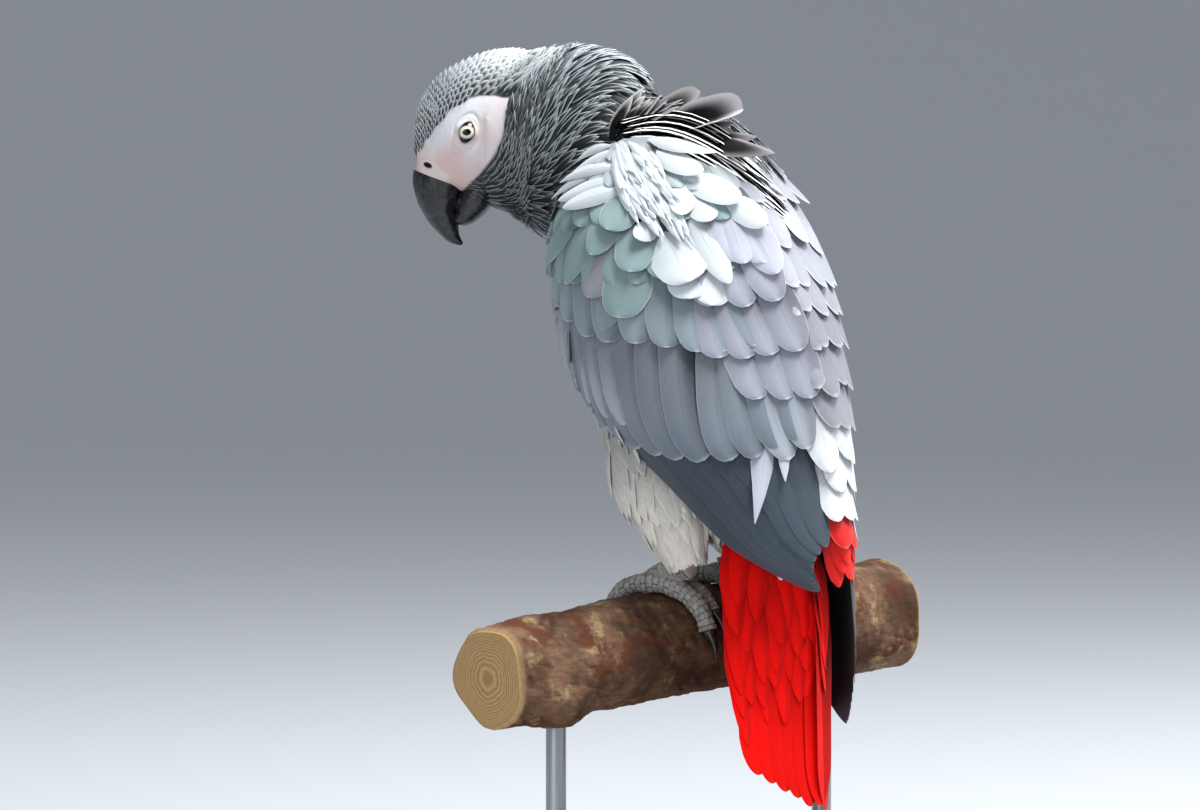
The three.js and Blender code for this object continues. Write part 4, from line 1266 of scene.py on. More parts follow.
# The pale top of the crown is a painted highlight of the light from above, and the darker grey behind the
# cheeks is painted shade.
DYES |= {"crown": paint("2e373c"), "crown_top": paint("96a3a8"), "ear": paint("3d464b")}
ear = cheek * ease(-forward, 9, 15)
crown_top = 0.8 * ease(up, 15, 23) * ease(-forward, -8, 4)
dye = blend(markings(at), crown=1 - cheek, crown_top=crown_top, ear=ear)
# Painted shade darkens the cheeks' feathers and dulls their edges and those behind them.
dye[:, :3] *= 1 - 0.35 * cheek[:, None]
dye = tone(with_rim(dye, (0.60 + 0.40 * crown - 0.22 * cheek - 0.3 * ear) * (1 - 0.5 * by_face * cheek)))
lift = (0.55 + 0.35 * crown + rng.uniform(-0.15, 0.25, len(roots))) * (1 - 0.5 * by_face)
head_coat.add(
    head_lie, roots, tips, size * (1.25 - 0.62 * cheek), dye, rows=3, columns=5, low=-HEAD_COAT_DEPTH,
    high=lift, shoulder=0.4, bluntness=2.0 - 0.4 * cheek, cup=0.30, thick=0.2, spots=unwrapped(roots),
)
head_coat.build(head_plumage, "plumage_grey")

# %% [markdown]
# ## Neck and body feathers
# The neck's hackles are narrow and dark with pale edges, and sweep from the throat up and back. The
# mantle's feathers behind them are longer. Breast and belly feathers are broad and soft. Where the closed
# wings or the head hide the body, no feathers are laid.


# %% Masks on the body
def inside_skull(points):
    """True where a point lies within the skull's rings."""
    forward, up, left = to_head(points).T
    t = np.interp(forward, [s[0] for s in SKULL], np.linspace(0, 1, len(SKULL)))
    _, crown, throat, wide = np.moveaxis(run_through(SKULL, t), -1, 0)
    ratio = np.hypot((up - (crown + throat) / 2) / ((crown - throat) / 2), left / wide)
    return (ratio < 0.98) & (forward > SKULL[0][0]) & (forward < SKULL[-1][0])


def under_wings(points):
    """True where the closed wings cover the body."""
    x, y, z = points.T
    edge, rear = np.array(LEADING_EDGE)[::-1].T, np.array(BACK_EDGE)[::-1].T
    front, inner = np.interp(z, edge[2], edge[1]), np.interp(z, rear[2], rear[0])
    return (y > front + 8) & (np.abs(x) > inner - 3) & (z < 186) & (z > 24)


def body_group(coat, p_from, p_to, pitch_p, pitch_q, keep, length, width, dye_of, slant=0.0, scatter=0.08,
               stagger=0.8, **look):
    """Feathers over the body where keep(points, turn) is true, pointing to the tail. length and width in mm
    are numbers or functions of p, and slant is one of the roots."""
    roots = jitter(covering(body_lie, p_from, p_to, pitch_p, pitch_q), body_lie, stagger)
    at = body_lie.at(*roots.T)
    chosen = keep(at, roots[:, 1]) & ~inside_skull(at) & ~under_wings(at) & (face_mask(at, 4.0) < 0.05)
    roots, at = roots[chosen], at[chosen]
    spread = rng.normal(0, scatter, len(roots))
    along = roots[:, 0]
    tips = reach(
        body_lie, roots, read(length, along) * rng.uniform(0.9, 1.1, len(roots)),
        read(slant, roots) + spread,
    )
    coat.add(body_lie, roots, tips, read(width, along), dye_of(at, roots), spots=unwrapped(roots), **look)


# %% Neck coat
neck_coat = Coat("coat_neck")
hackle_pitch = lambda t: 2.3 + 0.9 * ease(-t, -0.85, -0.62)
upswept = lambda r: np.radians(62) * np.cos(r[:, 1]) * ease(r[:, 0], 0.58, 0.72)


def hackle_dye_and_painted_light(at, roots):
    """The markings darkened, and near the head blended on top towards the head's grey. Brighter on top of
    the neck, with paler edges there, is painted light from above; darker at the throat, with duller edges,
    is painted shade.
    """
    nape = ease(np.sin(roots[:, 1]), 0.2, 0.9)
    throat = ease(-np.sin(roots[:, 1]), 0.1, 0.8)
    dye = blend(markings(at) * [0.45, 0.45, 0.45, 1], head=0.7 * nape * ease(roots[:, 0], 0.80, 0.90))
    # Painted light on top of the neck and painted shade at the throat.
    dye[:, :3] *= (1 + 0.35 * nape - 0.4 * throat)[:, None]
    return tone(with_rim(dye, 0.9 + 0.1 * nape - 0.5 * throat), 0.22)


everywhere = lambda p, turn: np.full(len(p), True)
hackle_length = lambda t: 15 + 5 * ease(-t, -0.9, -0.76)
hackle_width = lambda t: 2.8 + 0.8 * ease(-t, -0.95, -0.76)
body_group(
    neck_coat, 0.79, 0.97, lambda t: 1.9 * hackle_pitch(t), hackle_pitch, everywhere, hackle_length,
    hackle_width, hackle_dye_and_painted_light, slant=upswept, scatter=0.09, stagger=3.2, rows=6, columns=5, low=-2.4,
    high=1.7, shoulder=0.25, bluntness=1.35, cup=0.55, ragged=0.08,
)
neck_coat.build(hackle_plumage, "plumage_grey")

# %% Mantle
back_coat = Coat("coat_back")


def mantle_dye(at, roots):
    return tone(with_rim(blend(markings(at), mantle=ease(roots[:, 0], 0.60, 0.66)), 0.9), 0.15)


above_fan = lambda p, turn: np.sin(turn) > -0.3
beside_fan = lambda p, turn: above_fan(p, turn) & ~((turn > 0.15) & (turn < 1.3))
mantle_length = lambda t: 36 - 12 * ease(t, 0.62, 0.76)
mantle_width = lambda t: 5.2 - ease(t, 0.62, 0.76)
for t_from, t_to, keep in ((0.75, 0.81, above_fan), (0.50, 0.75, beside_fan)):
    body_group(
        back_coat, t_from, t_to, 8.0, 3.6, keep, mantle_length, mantle_width, mantle_dye, stagger=3.0,
        rows=9, columns=5, low=-3.4, high=1.6, shoulder=0.4, bluntness=1.5, cup=0.35, scatter=0.05,
        slant=lambda r: 0.6 * upswept(r),
    )

# %% [markdown]
# ## Raised feathers
# At each side of the neck the mantle's feathers stand up in a fan: long, narrow, black, with broad white
# edges, so that they read as stripes. They lie in a band between two guide lines on the body. On the left
# side more of them rise from a few roots, and over them stand single dark feathers, as when a bird shakes
# itself. Those root in a leaning sheet of their own and are placed one by one.


# %% Striped feathers of the mantle
DYES |= {"stripe": paint("08090a"), "ruffle": paint("2b2628")}
STRIPES_LOW = [(0.676, 0.36), (0.639, 0.60), (0.599, 0.68), (0.546, 0.96), (0.509, 1.27), (0.476, 1.56)]
STRIPES_HIGH = [(0.712, 0.62), (0.637, 0.90), (0.602, 1.22), (0.566, 1.50), (0.527, 1.62), (0.479, 1.92)]
FAN_ROOTS = [(0.706, 0.42), (0.700, 0.50), (0.692, 0.62)]
FAN_TIPS = [(0.750, 1.00), (0.735, 1.14), (0.715, 1.18), (0.695, 1.20), (0.675, 1.16), (0.655, 1.12)]


def mirrored(places):
    """The same places on the body's other side, a little further from the midline."""
    return places * [1, -0.84] + [0, np.pi]


def in_band(along, across):
    """Places in the band between the two guide lines, both shares from 0 to 1."""
    low, high = run_through(STRIPES_LOW, along), run_through(STRIPES_HIGH, along)
    return low + (high - low) * across[:, None]


ruffled_coat = Coat("coat_ruffles")
across, start = np.meshgrid(np.linspace(0, 1, 9), [0.0, 0.22, 0.44], indexing="ij")
across = across.ravel() + rng.uniform(-0.03, 0.03, across.size)
start = start.ravel() + rng.uniform(-0.04, 0.04, start.size)
for side, share, pale in ((1, 1.0, 1.0), (-1, 0.6, 0.5)):
    roots, tips = in_band(share * start, across), in_band(share * (start + 0.56), across)
    if side < 0:
        roots, tips = mirrored(roots), mirrored(tips)
    ruffled_coat.add(
        body_lie, roots, tips, rng.uniform(4.4, 5.6, len(roots)),
        tone(dyed("stripe", len(roots), pale), 0.3), rows=14, columns=7, low=1.0 + across,
        high=3.6 + 2.0 * across, roll=0.35 * side, cup=0.1, shoulder=0.4, bluntness=1.5, base=0.6,
        ragged=0.02, spots=unwrapped(roots),
    )
ruffled_coat.build(stripe_plumage, "plumage_grey")

# %% Ruffled feathers
RUFFLE_TURN = np.radians(120)  # of the sheet they stand in, round the vertical
RUFFLES = [  # root and tip along and up the sheet, width, tip's height, cup, bluntness, shoulder, rim
    (-26, 204, 0, 218.5, 10.5, 2, -0.35, 2.2, 0.6, 0.5), (-22, 204, 8, 214, 9, -1, 0.3, 1.8, 0.5, 0.5),
    (-17, 203, 17.5, 209.5, 14.5, 4, -0.75, 3.2, 0.55, 0.95),
    (-10, 203, 29.5, 192.5, 11, 3, 0.3, 1.35, 0.45, 0.5),
    (-14, 202, 22, 201, 8, 0, 0.3, 1.6, 0.5, 0.4), (-16, 204, 13, 206, 8, 1, 0.3, 1.8, 0.5, 0.5),
]


def ruffle_at(p, q):
    """The sheet that the raised feathers stand in: p mm along it, q mm up. It leans from the bird's left
    side towards its middle as it runs up and back."""
    p, q = np.broadcast_arrays(np.asarray(p, float), np.asarray(q, float))
    cosine, sine = np.cos(RUFFLE_TURN), np.sin(RUFFLE_TURN)
    left = 30 - 0.75 * (q - 197) - 0.3 * (p + 33)
    depth = (left - cosine * p) / sine
    return np.stack([p * cosine + depth * sine, p * sine - depth * cosine, q], -1)


ruffle_lie = Lie(ruffle_at, 1)
raised_coat = Coat("coat_raised", grid=True)
share = np.linspace(0, 1, 13)
roots, tips = run_through(FAN_ROOTS, share), run_through(FAN_TIPS, share)
tips = roots + (tips - roots) * rng.uniform(0.78, 1.08, (len(roots), 1))
raised_coat.add(
    body_lie, roots, tips, rng.uniform(4.6, 6.4, len(roots)), tone(dyed("stripe", len(roots), 0.6), 0.3),
    rows=14, columns=9, low=0.4, high=2.0 + 2.5 * share, curl=1.0, roll=0.25, cup=0.25,
    sweep=rng.uniform(2.0, 4.5, len(roots)), shoulder=0.45, bluntness=1.5, base=0.6, ragged=0.02,
)
ruffles = np.array(RUFFLES)
width, high, cup, bluntness, shoulder, rim = ruffles[:, 4:].T
raised_coat.add(
    ruffle_lie, ruffles[:, :2], ruffles[:, 2:4], width, dyed("ruffle", len(ruffles), rim), rows=16,
    columns=13, low=-1.0, high=high, cup=cup, shoulder=shoulder, bluntness=bluntness, base=0.5, ragged=0.02,
)
raised_coat.build(ruffle_plumage, "plumage_grey")


# %% [markdown]
# ## Back, breast and thighs
# Between the wings' back edges the back's broad feathers run down to the white rump, and one row of red
# feathers ends it over the tail. The flanks' feathers lie on a sheet between the wings' front edges, the
# other breast feathers on the body itself, and the thighs have short soft trousers.


# %% Back and rump
RED_COUNT = 8  # feathers in the row that ends the rump


def back_at(u, w):
    """The roof between the two wings' back edges: u down them, w from the right (-1) to the left (1)."""
    rear = run_through(BACK_EDGE, u)
    bulge = 4.0 * (1 - w**2)
    return np.stack([rear[..., 0] * w, rear[..., 1] + bulge, rear[..., 2] + 0.3 * bulge], -1)


back_lie = Lie(back_at, -1)
roots = jitter(covering(back_lie, -0.02, 0.74, 15.0, 11.5, -1.0, 1.0), back_lie, 2.5)
tips = reach(
    back_lie, roots, 42 - 12 * ease(roots[:, 0], 0.45, 0.7), rng.normal(0, 0.05, len(roots)), sense=1
)
at = back_lie.at(*tips.T)
dye = tone(with_rim(markings(at), 0.35 - 0.25 * ease(roots[:, 0], 0.3, 0.6)), 0.07)
# Darker overall, and darker still between heights of 84 and 112 mm, fading out by 160 mm.
dye[:, :3] *= (0.85 - 0.38 * ease(-at[:, 2], -160, -112) * ease(at[:, 2], 72, 84))[:, None]
back_coat.add(
    back_lie, roots, tips, 19 - 6 * ease(roots[:, 0], 0.4, 0.7), dye, rows=9, columns=7, low=-3.5,
    high=rng.uniform(0.4, 1.6, len(roots)), cup=0.25, shoulder=0.5, bluntness=2.0, base=0.5, ragged=0.04,
    spots=in_margin((roots + [0.05, 1.2]) / [0.9, 2.4]),
)
share = np.linspace(-0.9, 0.9, RED_COUNT)
roots = np.stack([0.70 + 0 * share, share], -1)
tips = np.stack([0.97 + 0.05 * np.cos(7 * share), 0.9 * share], -1)
back_coat.add(
    back_lie, roots, tips, 9.5, dyed("red", RED_COUNT, 0.0), rows=9, columns=7, low=-3.5,
    high=0.2 - 0.5 * share**2, cup=0.25, shoulder=0.5, bluntness=1.8, base=0.5, ragged=0.04,
    spots=in_margin((roots + [0.15, 1.2]) / [0.9, 2.4]),
)
back_coat.build(mantle_plumage, "plumage_grey")

# %% Breast and belly
breast_coat = Coat("coat_breast")
on_front = lambda p, turn: (np.sin(turn) < 0.35) & ~((p[:, 1] > 20) & (p[:, 2] < 40))


def front_at(u, w):
    """The chest between the wings' leading edges: u down them, w from the right (-1) to the left (1).
    It bulges forward to the body's own front, flat in the middle and steep at the sides."""
    edge = run_through(LEADING_EDGE, u)
    body_t = 0.62 - 0.5 * u
    front = body_at(body_t, 0 * u - np.pi / 2)
    share = np.abs(w) ** 2.6
    return np.stack([edge[..., 0] * w, front[..., 1] * (1 - share) + edge[..., 1] * share,
                     front[..., 2] * (1 - share) + edge[..., 2] * share], -1)


front_lie = Lie(front_at, 1)
flank = [covering(front_lie, 0.04, 0.6, 6.0, 6.5, *ends) for ends in ((0.42, 1.06), (-1.06, -0.42))]
roots = jitter(np.concatenate(flank), front_lie, 1.0)
tips = reach(front_lie, roots, 20, rng.normal(0, 0.12, len(roots)), sense=1)
dye = tone(with_rim(markings(front_lie.at(*roots.T)), 0.35), 0.08)
soft = {"rows": 5, "columns": 5, "low": -3.4, "shoulder": 0.4, "bluntness": 1.7, "cup": 0.3, "ragged": 0.12}
breast_coat.add(
    front_lie, roots, tips, 10.5, dye, high=rng.uniform(0.2, 1.2, len(roots)),
    spots=in_margin((roots[:, ::-1] + [1.1, 0]) / [2.2, 0.7]), **soft,
)
breast_dye = lambda at, roots: tone(with_rim(markings(at), 0.35 * ease(-at[:, 1], -30, -15)), 0.08)
body_group(
    breast_coat, 0.04, 0.63, 5.6, 6.0, on_front, 19, 10.5, breast_dye, scatter=0.14, high=0.9, **soft
)
breast_coat.build(pale_plumage, "plumage_pale")

# %% Thighs
def lie_on_tube(surface, path):
    """A tube's surface to lay feathers on, with the normal's sign turned away from the tube's path."""
    lie, middle, turn = Lie(surface, 1), np.array([0.5]), np.array([0.0])
    away = lie.at(middle, turn) - run_through(path, middle)
    lie.outward = np.sign((lie.normal(middle, turn) * away).sum())
    return lie


leg_coat = Coat("coat_legs")
for side in SIDES.values():
    _, thigh_path, _ = leg_points(side)
    thigh_lie = lie_on_tube(tube_at(thigh_path, THIGH_RADII, BACKWARDS), thigh_path)
    roots = jitter(covering(thigh_lie, 0.02, 0.86, 6.5, 5.5), thigh_lie, 1.6)
    low_down = ease(roots[:, 0], 0.5, 0.95)
    tips = reach(thigh_lie, roots, 32 - 16 * low_down, rng.normal(0, 0.10, len(roots)), sense=1)
    tips[:, 0] = np.minimum(tips[:, 0], 1.02)
    tips[:, 1] = np.clip(tips[:, 1], roots[:, 1] - 0.6, roots[:, 1] + 0.6)
    dye = tone(with_rim(markings(thigh_lie.at(*roots.T)), 0.5), 0.08)
    leg_coat.add(
        thigh_lie, roots, tips, 9 - 3.5 * low_down, dye, rows=7, columns=7, low=-3.2,
        high=rng.uniform(-0.2, 1.2, len(roots)), shoulder=0.35, bluntness=1.5, cup=0.35, ragged=0.08,
        spots=unwrapped(roots) * [0.5, 1] + [0.5 * (side < 0), 0],
    )
leg_coat.build(pale_plumage, "plumage_pale")

# %% [markdown]
# ## Wings
# A closed wing shows its feathers in layers like roof tiles: flight feathers lowest, then the greater,
# middle and small coverts, and the shoulder feathers over the back edge. Each layer is a row whose tips
# lie along a line on the wing. Every feather tilts a little about its shaft, so its front edge covers the
# one before it. At the ruffled bend of the wing, broad pale and blue-grey feathers are placed one by one
# under narrow fluffy ones, and two loose pointed feathers hang over the primaries.

# %% Rows of a wing
# The lower shoulder rows and the secondaries' tips take darker greys: partly their own colour, partly
# painted shade of the wing's lower half, away from the light above.
DYES |= {
    name: paint(code) for name, code in {
        "primary": "434f59", "primary_dark_shaded": "1c2026", "secondary": "a3abb4", "secondary_low_shaded": "707a85",
        "covert": "8c989f", "covert_low": "8b98a0", "lilac": "bfc2d0", "lilac_low": "9fa2b0",
        "teal": "8aa2a2", "white": "d6dee2", "brownish": "9b9ca2", "small": "aab6ba", "fringe": "a4a6a2",
    }.items()
}
ROWS = {  # tips as (v, u) stations in thousandths, pitch, length, width, dye, tip's dye, rim, tip's height
    "small_second": ([(-120, 65), (500, 60), (620, 60)], 6, 15, 9, "small", "small", 0.3, 0.5),
    "small_third": ([(-120, 120), (500, 115), (1000, 120)], 7, 20, 11, "small", "small", 0.3, 0.7),
    "small_fourth": ([(-100, 180), (500, 180), (1000, 180)], 8.5, 24, 13, "teal", "teal", 0.3, 0.9),
    "middle": ([(-90, 240), (100, 270), (500, 300), (900, 280)], 10, 28, 14, "covert", "teal", 0.25, 0.9),
    "greater": ([(20, 310), (140, 365), (330, 400), (520, 405), (670, 415), (790, 420), (880, 410)],
                12.5, 42, 17, "covert", "covert_low", 0.35, 0.7),
    "hand_coverts": ([(-60, 440), (0, 520), (100, 560), (180, 570)],
                     9.5, 60, 14, "covert_low", "secondary", 0.2, 0.5),
}
SHOULDER_ROWS = {  # the same, for the rows over the back edge
    "upper": ([(860, 265), (1000, 265)], 12, 36, 17, "lilac", "lilac", 0.5, 1.6),
    "second": ([(800, 345), (900, 350), (1000, 340)], 12, 40, 17, "lilac", "lilac_low", 0.5, 1.4),
    "third": ([(760, 430), (880, 435), (1000, 420)], 12.5, 44, 18, "lilac_low", "lilac_low", 0.45, 1.2),
    "fourth": ([(840, 515), (1000, 510)], 13, 48, 18, "lilac_low", "lilac_low", 0.45, 1.0),
    "lowest": ([(880, 635), (960, 615)], 13, 62, 18, "lilac_low", "secondary", 0.4, 0.9),
}

# %% Single feathers of a wing
SINGLES = [  # root u, v, tip u, v in thousandths, width, dye, tip's height, bluntness
    (33, 460, 48, 0, 6, "white", 2.6, 1.4), (57, 480, 90, -40, 7, "white", 3.4, 1.4),
    (75, 550, 60, 10, 6, "white", 3.8, 1.5), (96, 560, 122, 170, 8, "white", 3.6, 1.7),
    (114, 600, 143, 240, 8, "white", 4.0, 1.8), (13, 400, -36, -60, 5, "white", 2.6, 1.4),
    (146, 310, 221, -20, 11, "teal", 2.0, 2.0), (165, 420, 278, 180, 11, "teal", 2.4, 2.0),
    (155, 540, 240, 380, 13, "teal", 2.8, 2.0), (125, 620, 200, 490, 15, "teal", 3.8, 2.4),
    (185, 630, 280, 540, 16, "teal", 3.0, 2.4), (240, 590, 354, 430, 20, "teal", 2.6, 2.4),
    (235, 460, 312, 300, 15, "brownish", 1.8, 2.0), (290, 460, 372, 330, 11, "covert", 1.5, 1.8),
    (205, 720, 304, 750, 22, "white", 4.4, 2.6), (270, 760, 332, 730, 17, "white", 2.8, 2.4),
    (270, 860, 344, 790, 16, "white", 2.4, 2.4), (190, 700, 220, 600, 9, "white", 4.2, 2.0),
    (165, 830, 309, 870, 12, "white", 3.4, 1.9), (90, 840, 178, 790, 11, "white", 3.0, 2.0),
    (45, 720, 94, 910, 11, "white", 4.0, 2.0), (85, 840, 141, 1000, 13, "white", 3.6, 2.2),
    (125, 960, 193, 1040, 12, "white", 3.2, 2.2), (130, 870, 189, 880, 12, "white", 2.6, 2.0),
    (150, 950, 272, 940, 14, "lilac", 2.4, 2.2), (165, 1000, 290, 1020, 15, "lilac", 2.2, 2.2),
    (14, 660, 55, 990, 7, "white", 5.0, 1.5),
]
STRAYS = [  # loose feathers over the primaries: root u, v, tip u, v in thousandths, width, sideways bend
    (555, 850, 755, 730, 11, 14), (570, 900, 680, 860, 7, 4),
]
RIDGE = [  # narrow fluffy feathers from the bend of the wing backwards: root u, v, tip u, v in thousandths
    (33, 450, 194, 700), (57, 580, 197, 770), (81, 660, 218, 790), (81, 570, 197, 670),
    (40, 500, 140, 700), (50, 620, 160, 800), (20, 460, 120, 660), (60, 520, 170, 630),
    (100, 620, 215, 720), (70, 620, 180, 740), (30, 550, 110, 760), (90, 560, 205, 640),
    (120, 680, 225, 780), (130, 740, 240, 800), (60, 680, 160, 820), (140, 660, 240, 720),
]
RIDGE_LAYERS, FRINGE_COUNT = 6, 60


# %% Laying a row
def lay_row(coat, side, line, pitch, length, width, dye, tip_dye, rim, high, **look):
    """Tips a pitch apart in mm along a line on the wing, and roots a feather's length up the wing."""
    lie = wing_lies[side]
    stations = np.array(line).T / 1000
    v = np.linspace(stations[0, 0], stations[0, -1], 200)
    u = np.interp(v, *stations)
    run = np.concatenate([[0], np.cumsum(np.linalg.norm(np.diff(lie.at(u, v), axis=0), axis=-1))])
    count = max(2, round(run[-1] / pitch) + 1)
    wanted = np.linspace(0, run[-1], count) + rng.uniform(-0.08, 0.08, count) * pitch
    tips = np.stack([np.interp(wanted, run, u), np.interp(wanted, run, v)], -1)
    tips[:, 0] += rng.uniform(-0.005, 0.005, count)
    slant = np.radians(20) * ease(-tips[:, 1], -0.85, -0.6) + rng.normal(0, 0.02, count)
    roots = reach(lie, tips, length * rng.uniform(0.96, 1.04, count), slant)
    roots[:, 0] = np.maximum(roots[:, 0], 0.0)
    shades = {
        "rows": 9, "columns": 9, "low": -2.2, "roll": 0.12 * side, "cup": 0.22, "shoulder": 0.62,
        "bluntness": 2.3, "base": 0.55, "ragged": 0.015, "thick": 0.3, "mirror": side < 0, **look,
    }
    coat.add(lie, roots, tips, width, tone(dyed(dye, count, rim), 0.05), high=high,
             tip_dye=tone(dyed(tip_dye, count, rim), 0.05), **shades)


# %% Laying the single feathers
def lay_singles(coat, side):
    """The shoulder's own feathers."""
    chosen = [s for s in SINGLES if side > 0 or s[3] < 930]
    numbers = np.array([s[:5] + s[6:] for s in chosen], float)
    numbers[:, :4] /= 1000
    dyes = np.array([DYES[s[5]] for s in chosen])
    coat.add(
        wing_lies[side], numbers[:, :2], numbers[:, 2:4], numbers[:, 4], with_rim(tone(dyes, 0.04), 0.5),
        rows=9, columns=9, low=-0.6, high=numbers[:, 5], roll=0.05 * side, cup=0.22, shoulder=0.5,
        bluntness=numbers[:, 6], base=0.45, ragged=0.02, thick=0.3, mirror=side < 0,
    )
    stray = np.array(STRAYS) / [1000, 1000, 1000, 1000, 1, 1]
    coat.add(
        wing_lies[side], stray[:, :2], stray[:, 2:4], stray[:, 4],
        tone(dyed("lilac", len(stray), 0.4), 0.04), rows=12, columns=7, low=-1.5, high=2.0,
        sweep=stray[:, 5] * side, cup=0.3, shoulder=0.35, bluntness=1.25, base=0.5, ragged=0.03, thick=0.3,
    )
    ridge = np.tile(RIDGE, (RIDGE_LAYERS, 1)) / 1000
    ridge = ridge + rng.uniform(-0.016, 0.016, ridge.shape) * [1, 2, 1, 2]
    ridge[:, 2:] = ridge[:, :2] + (ridge[:, 2:] - ridge[:, :2]) * rng.uniform(0.45, 0.95, (len(ridge), 1))
    coat.add(
        wing_lies[side], ridge[:, :2], ridge[:, 2:], rng.uniform(2.8, 4.6, len(ridge)),
        tone(dyed("white", len(ridge), 0.2), 0.06), rows=9, columns=5, low=0.5,
        high=rng.uniform(1.6, 3.4, len(ridge)), cup=0.4, shoulder=0.3, bluntness=1.5, ragged=0.12,
        thick=0.3,
    )
    fringe = rng.uniform([[0.1], [-0.03]], [[0.62], [0.05]], (2, FRINGE_COUNT)).T
    fringe_tips = fringe + rng.uniform([[0.05], [-0.13]], [[0.08], [-0.08]], (2, FRINGE_COUNT)).T
    coat.add(wing_lies[side], fringe, fringe_tips, rng.uniform(4, 6, FRINGE_COUNT),
             tone(dyed("fringe", FRINGE_COUNT, 0.6), 0.1), rows=6, columns=5, low=-2.0,
             high=rng.uniform(-1.2, 0.4, FRINGE_COUNT), cup=0.4, shoulder=0.4, bluntness=1.6, thick=0.3)


# %% Flight feathers
PRIMARY_COUNT = 10


def lay_flight(side, name):
    """Nine secondaries under the greater coverts and ten primaries below them."""
    # The right wing's primaries take a darker slate: their own dark colour, darkened further as painted
    # shade of the far wing.
    slate = "primary" if side > 0 else "primary_dark_shaded"
    secondaries = Coat(f"wing_{name}_secondary_feathers", grid=True)
    line = [(-30, 500), (45, 610), (150, 635), (290, 645), (500, 650), (700, 640), (820, 625), (940, 600)]
    lay_row(
        secondaries, side, line, 9.6, 74, 15.5, "secondary", "secondary_low_shaded", 0.25, 0.6, rows=11, low=-2.4,
        shoulder=0.8, bluntness=2.4, base=0.7,
    )
    lie = wing_lies[side]
    primaries = Coat(f"wing_{name}_primary_feathers", grid=True)
    share = np.linspace(0, 1, PRIMARY_COUNT)
    tips = np.stack([1.0 - 0.14 * share**1.3, 0.04 + 0.9 * share], -1)
    roots = np.stack([0.50 - 0.04 * share, 0.06 + 0.86 * share], -1)
    width = 15 - 2 * share
    dye = tone(dyed(slate, PRIMARY_COUNT, 0.25), 0.06)
    primaries.add(
        lie, roots, tips, width, dye, rows=16, columns=9, low=-2.6, high=0.2 + 0.25 * share,
        roll=0.07 * side, cup=0.10, shoulder=0.72, bluntness=1.7 if side > 0 else 1.2, base=0.7,
        ragged=0.01, thick=0.3, mirror=side < 0,
    )
    secondaries.build(covert_plumage, "plumage_grey", f"wing_{name}_secondaries")
    primaries.build(slate_plumage, "plumage_slate", f"wing_{name}_primaries")


# %% Both wings
for name, side in SIDES.items():
    coverts = Coat(f"wing_{name}_covert_feathers", grid=True)
    last = 1000 if side > 0 else 920  # how near the rows come to the back edge
    for line, *sizes in (*ROWS.values(), *SHOULDER_ROWS.values()):
        lay_row(coverts, side, [(min(v, last), u) for v, u in line], *sizes)
    coverts.build(covert_plumage, "plumage_grey", f"wing_{name}_coverts")
    shoulder = Coat(f"wing_{name}_shoulder_feathers", grid=True)
    lay_singles(shoulder, side)
    shoulder.build(white_plumage, "plumage_pale")
    lay_flight(side, name)

# %% [markdown]
# ## Tail
# Twelve scarlet feathers lie fanned like a hand of cards, the middle pair on top. Red coverts lie over
# their roots above and below.

# %% Tail feathers
TAIL_PAIRS = 6
# The deeper red towards the tail feathers' roots is painted shade under the coverts.
DYES |= {"scarlet": paint("f60d06"), "scarlet_shaded": paint("dc0a04")}
tail_feathers = Coat("tail_feathers", grid=True)
pair, hand = np.repeat(np.arange(TAIL_PAIRS), 2), np.tile([1, -1], TAIL_PAIRS)
tail_v = hand * (pair + 0.5) / TAIL_PAIRS * 0.93
count = len(tail_v)
roots = np.stack([np.full(count, 0.03), tail_v * 0.75], -1)
tips = np.stack([1.0 + rng.uniform(-0.02, 0.0, count), tail_v], -1)
tail_feathers.add(
    tail_lie, roots, tips, 15.5, tone(dyed("scarlet_shaded", count, 0.25), 0.04), rows=20, columns=9,
    low=-3.0, high=-0.3, roll=0.10 * hand, cup=0.10, shoulder=0.83, bluntness=1.8, base=0.6,
    ragged=0.012, thick=0.4, tip_dye=tone(dyed("scarlet", count, 0.25), 0.04),
)
tail_feathers.build(red_plumage, "plumage_red", "tail")

# %% Tail coverts above and below
tail_coverts = Coat("tail_covert_feathers")
roots = jitter(covering(tail_lie, -0.14, 0.24, 7.0, 5.0, -0.99, 0.99), tail_lie, 2.0)
length = rng.uniform(40, 70, len(roots))
tips = reach(tail_lie, roots, length, 0.06 * roots[:, 1] + rng.normal(0, 0.04, len(roots)), sense=1)
tips[:, 1] = np.clip(tips[:, 1], -0.93, 0.93)
tail_coverts.add(
    tail_lie, roots, tips, 12, tone(dyed("scarlet", len(roots), 0.0), 0.06), rows=8, columns=7, low=-2.6,
    high=rng.uniform(-0.9, -0.2, len(roots)), cup=0.12, shoulder=0.4, bluntness=1.7, base=0.5, ragged=0.06,
    spots=0.02 + (roots[:, ::-1] + [1.05, 0.12]) / [2.1, 0.32] * [0.46, 0.96],
)
under_lie = lie_on_tube(under_tail_at, UNDER_TAIL)
roots = covering(under_lie, 0.0, 0.8, 6.5, 7.0)
tips = reach(under_lie, roots, 20, rng.normal(0, 0.1, len(roots)), sense=1)
tail_coverts.add(
    under_lie, roots, tips, 11, tone(dyed("scarlet", len(roots), 0.2), 0.06), rows=6, columns=5, low=-2.6,
    high=0.9, cup=0.3, shoulder=0.4, bluntness=1.6, ragged=0.12,
    spots=unwrapped(roots) * [0.46, 1] + [0.52, 0],
)
tail_coverts.build(red_down, "plumage_red", "tail_coverts")

# %% [markdown]
# ## Feet
# A parrot's toes are covered in small horny plates. They are sleeves round the shanks and toes, whose
# radius rises and falls in a brick pattern of rounded plates. The claws are smooth tapering hooks that
# leave the toes' ends and curve down to the wood.


# %% Scaly sleeves
SLEEVE_SIDES = 60


